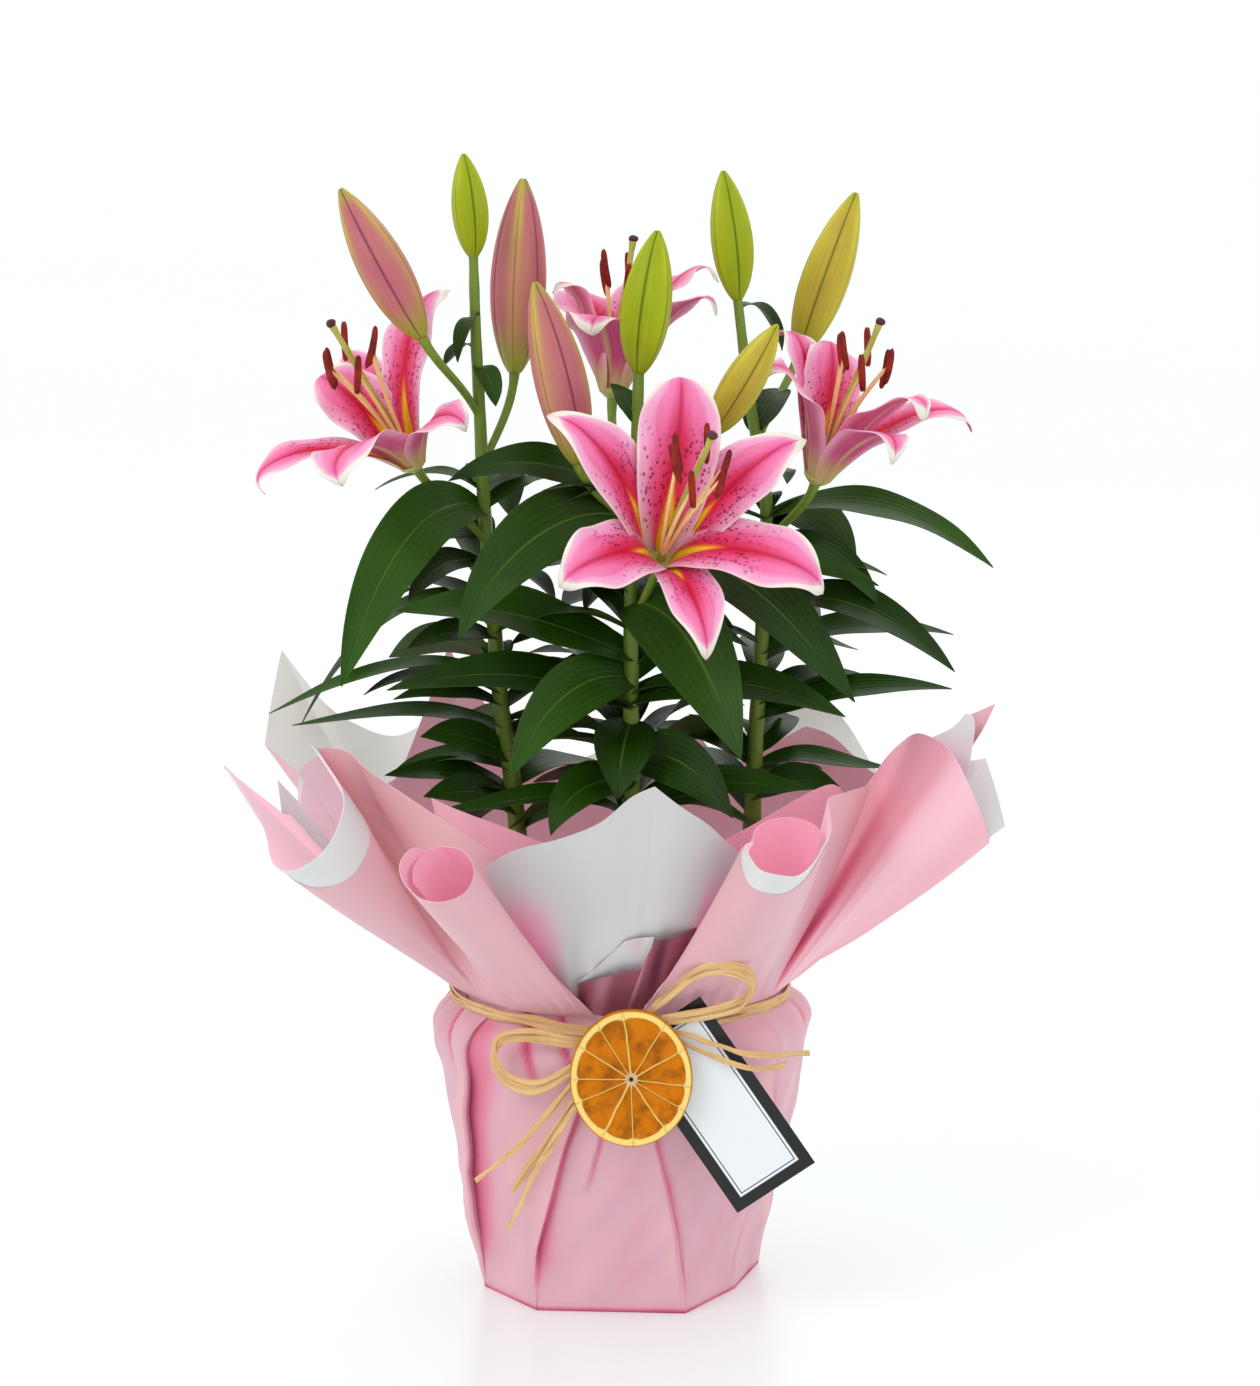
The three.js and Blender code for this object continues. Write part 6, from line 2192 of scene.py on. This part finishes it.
@dataclass
class OrangeSlice:
    """A dried slice of orange, shrunk and slightly warped, with its walls standing proud."""

    palette: Palette
    centre: Triple = (6.0, -117.5, 142.0)
    half_width: float = 32.0
    half_height: float = 37.0
    thickness: float = 5.0
    segments: int = 12
    sides: int = 288
    warp: float = 0.8

    def build(self) -> None:
        """Makes the slice as rings from the front's heart round the rim to the back's.

        The faces sink between the walls, and the disc is warped by a saddle, warp * r^2 * cos(2 * turn).
        """
        turn = whole_turn(self.sides)[None]
        face = np.concatenate(
            [[0.015, 0.03, 0.05, 0.075], np.linspace(0.1, 0.86, 34), [0.88, 0.9, 0.92, 0.94]]
        )
        face = face[:, None]
        rim_turn = np.linspace(-1, 1, 13)[:, None] * math.pi / 2
        rim = 0.955 + 0.045 * np.cos(rim_turn)
        half = self.thickness / 2
        uneven = 0.2 * np.sin(2 * turn + 0.7) + 0.12 * np.sin(5 * turn + 2)
        lobe = np.abs((turn * self.segments / (math.tau) + uneven) % 1 - 0.5) * 2
        wall = np.exp(-(((1 - lobe) * face * 9) ** 2))
        sunk = 0.75 * ease((face - 0.06) / 0.1) * (1 - ease((face - 0.84) / 0.07)) * (1 - wall)
        grain = 0.22 * ripple(face * 60, turn * 30, SEED + 400, 14) * (sunk > 0.2)
        heart = 1.1 * (1 - ease((face - 0.015) / 0.04))
        depth = half - 0.15 - sunk + grain * 0.6 - heart
        share = np.concatenate([face, rim, face[::-1]])
        y = np.concatenate([depth, half * 0.94 * np.sin(-rim_turn) + 0 * turn, -depth[::-1]])
        wave = 1 + 0.008 * ripple(np.cos(turn) * 3, np.sin(turn) * 3, SEED + 401)
        x = self.half_width * share * wave * np.cos(turn)
        z = self.half_height * share * wave * np.sin(turn)
        y = y + self.warp * share**2 * np.cos(2 * turn + 0.6)
        rings = np.stack([x, -y, z], axis=-1) + np.array(self.centre)
        made = skin(rings, share[:, 0])
        make_piece("dried_slice", made, self.palette.orange, "orange_slice", 60.0)


@dataclass
class GiftCard:
    """A stiff card with a dark border, hung by a corner: a corner, the way it runs, and its size."""

    palette: Palette
    corner: Triple = (42.0, -109.4, 184.0)
    along: Triple = (0.561, -0.007, -0.828)
    width: float = 49.0
    length: float = 108.0
    thickness: float = 0.8
    bow: float = 0.7

    def build(self) -> None:
        """Makes the card as a thin blade bowed by `bow` along its length, with its UV in millimetres."""
        along = unit(np.array(self.along))
        across = unit(np.cross(along, [0.0, -1.0, 0.0]))
        face = np.cross(along, across)
        u, v = np.linspace(0, self.length, 60), np.linspace(0, self.width, 28)
        bend = self.bow * np.sin(math.pi * u / self.length)[:, None, None]
        flat = along * u[:, None, None] + across * v[None, :, None]
        middle = np.array(self.corner) + flat + face * (self.thickness / 2) + face * bend
        made = blade(middle, self.thickness, u, v, (0, 0))
        make_piece("card_sheet", made, self.palette.card, "gift_card", 40.0)


# Pot, soil and the studio.


@dataclass
class PottingSoil:
    """The soil that fills the pot."""

    palette: Palette
    foot: float = 1.5
    rim: float = 150.0
    foot_radius: float = 58.0
    top_radius: float = 92.5
    wall: float = 1.9
    bottom: float = 3.6
    top: float = 138.0

    def build(self) -> None:
        """Makes the soil: a plain cone in the pot under a crumbly top, raised by ripples of two sizes."""
        z = np.array([self.bottom, self.bottom, self.top - 2])
        share = (z - self.foot) / (self.rim - self.foot)
        radius = self.foot_radius + (self.top_radius - self.foot_radius) * share
        radius = radius - self.wall
        sides = 120
        turn = np.linspace(0, 360, sides, endpoint=False)[None]
        side = polar(turn, np.array([[1.0], [radius[1]], [radius[2]]]), z[:, None])
        inwards = np.linspace(radius[2] - 0.5, 1.0, 46)[:, None]
        place = polar(turn, inwards, 0.0)
        crumbs = ripple(place[..., 0] / 1.4, place[..., 1] / 1.4, SEED + 500, 16)
        lumps = ripple(place[..., 0] / 7, place[..., 1] / 7, SEED + 501)
        height = self.top - 1.2 + 0.9 * crumbs + 1.1 * lumps
        rings = np.concatenate([side, polar(turn, inwards, height)])
        surface = skin(rings, np.zeros(len(rings)))
        make_piece("soil_fill", surface, self.palette.soil, "soil", 60.0)


@dataclass
class Studio:
    """The pale floor, the soft lights and the camera."""

    target: Triple = (5.4, 0.0, 325.6)
    distance: float = 2500.0
    climb: float = 10.0
    lens: float = 120.26
    sensor: float = 36.0
    floor_size: float = 60.0
    aim: Triple = (0.0, 0.0, 0.3)

    def floor(self) -> None:
        """A wide plane just under the base, faintly glossy."""
        finish = Shader("studio_floor", 0.8, Emission_Color="#F7F9FA", Emission_Strength=0.2)
        cloud = finish.noise(finish.place(), 0.6, 2.0)
        finish.feed("Base Color", finish.mix(cloud, "#D6E0DE", "#D9E3E1"))
        finish.feed("Roughness", cloud * 0.06 + 0.26)
        half = self.floor_size / 2
        mesh = bpy.data.meshes.new("studio_floor")
        corners = [(-half, -half, 0.0), (half, -half, 0.0), (half, half, 0.0), (-half, half, 0.0)]
        mesh.from_pydata(corners, [], [(0, 1, 2, 3)])
        mesh.materials.append(finish.material)
        plane = bpy.data.objects.new("studio_floor", mesh)
        bpy.context.collection.objects.link(plane)
        plane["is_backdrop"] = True

    def light(self, name: str, place: Triple, size: float, power: float) -> None:
        """A square area light that faces the aim.

        Args:
            name: Name of the light.
            place: Its position in metres.
            size: Side in metres.
            power: Watts.
        """
        data = bpy.data.lights.new(name, "AREA")
        data.shape = "SQUARE"
        data.size = size
        data.energy = power
        lamp = bpy.data.objects.new(name, data)
        lamp.location = place
        way = mathutils.Vector(self.aim) - mathutils.Vector(place)
        lamp.rotation_euler = way.to_track_quat("-Z", "Y").to_euler()
        bpy.context.collection.objects.link(lamp)

    def camera(self) -> None:
        """The camera, level and turned up by its climb, at its distance from the target."""
        data = bpy.data.cameras.new("studio_camera")
        data.lens = self.lens
        data.sensor_width = self.sensor
        data.clip_end = 100.0
        camera = bpy.data.objects.new("studio_camera", data)
        back = self.distance * math.cos(rad(self.climb))
        rise = self.distance * math.sin(rad(self.climb))
        x, y, z = self.target
        camera.location = (x * MM, (y - back) * MM, (z + rise) * MM)
        camera.rotation_euler = (rad(90 - self.climb), 0.0, 0.0)
        bpy.context.collection.objects.link(camera)
        bpy.context.scene.camera = camera

    def build(self) -> None:
        """Sets up the studio."""
        world = bpy.data.worlds.new("studio_world")
        world.use_nodes = True
        background = world.node_tree.nodes["Background"]
        background.inputs["Color"].default_value = (1.0, 1.0, 1.0, 1.0)
        background.inputs["Strength"].default_value = 1.0
        bpy.context.scene.world = world
        bpy.context.scene.view_settings.view_transform = "Standard"
        self.camera()
        self.floor()
        self.light("key", (-1.5, -1.6, 1.9), 1.1, 15.0)
        self.light("fill", (1.9, -1.5, 1.2), 1.6, 5.0)
        self.light("rim", (0.6, 1.8, 1.9), 1.4, 7.0)


def dress_pot(palette: Palette) -> None:
    """Gives the pot from the frame its moulded plastic."""
    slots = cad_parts["nursery_pot"].data.materials
    for k in range(max(len(slots), 1)):
        if k < len(slots):
            slots[k] = palette.plastic[0]
        else:
            slots.append(palette.plastic[0])


def main() -> None:
    """Builds the lily, its wrap and the studio, and works out both sizes."""
    logging.basicConfig(level=logging.INFO, format="%(message)s")
    palette = Palette()
    Studio().build()
    dress_pot(palette)
    PottingSoil(palette).build()
    PaperWrap(palette).build()
    RaffiaTie(palette).build()
    OrangeSlice(palette).build()
    GiftCard(palette).build()
    Lily(palette).build()
    sizes = {"cad": plain(CAD_BOX), "visual": plain(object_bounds())}


def plain(box: object) -> list[list[float]]:
    """A box as plain lists of numbers."""
    return [[float(x) for x in corner] for corner in box]


if __name__ == "__main__":
    main()
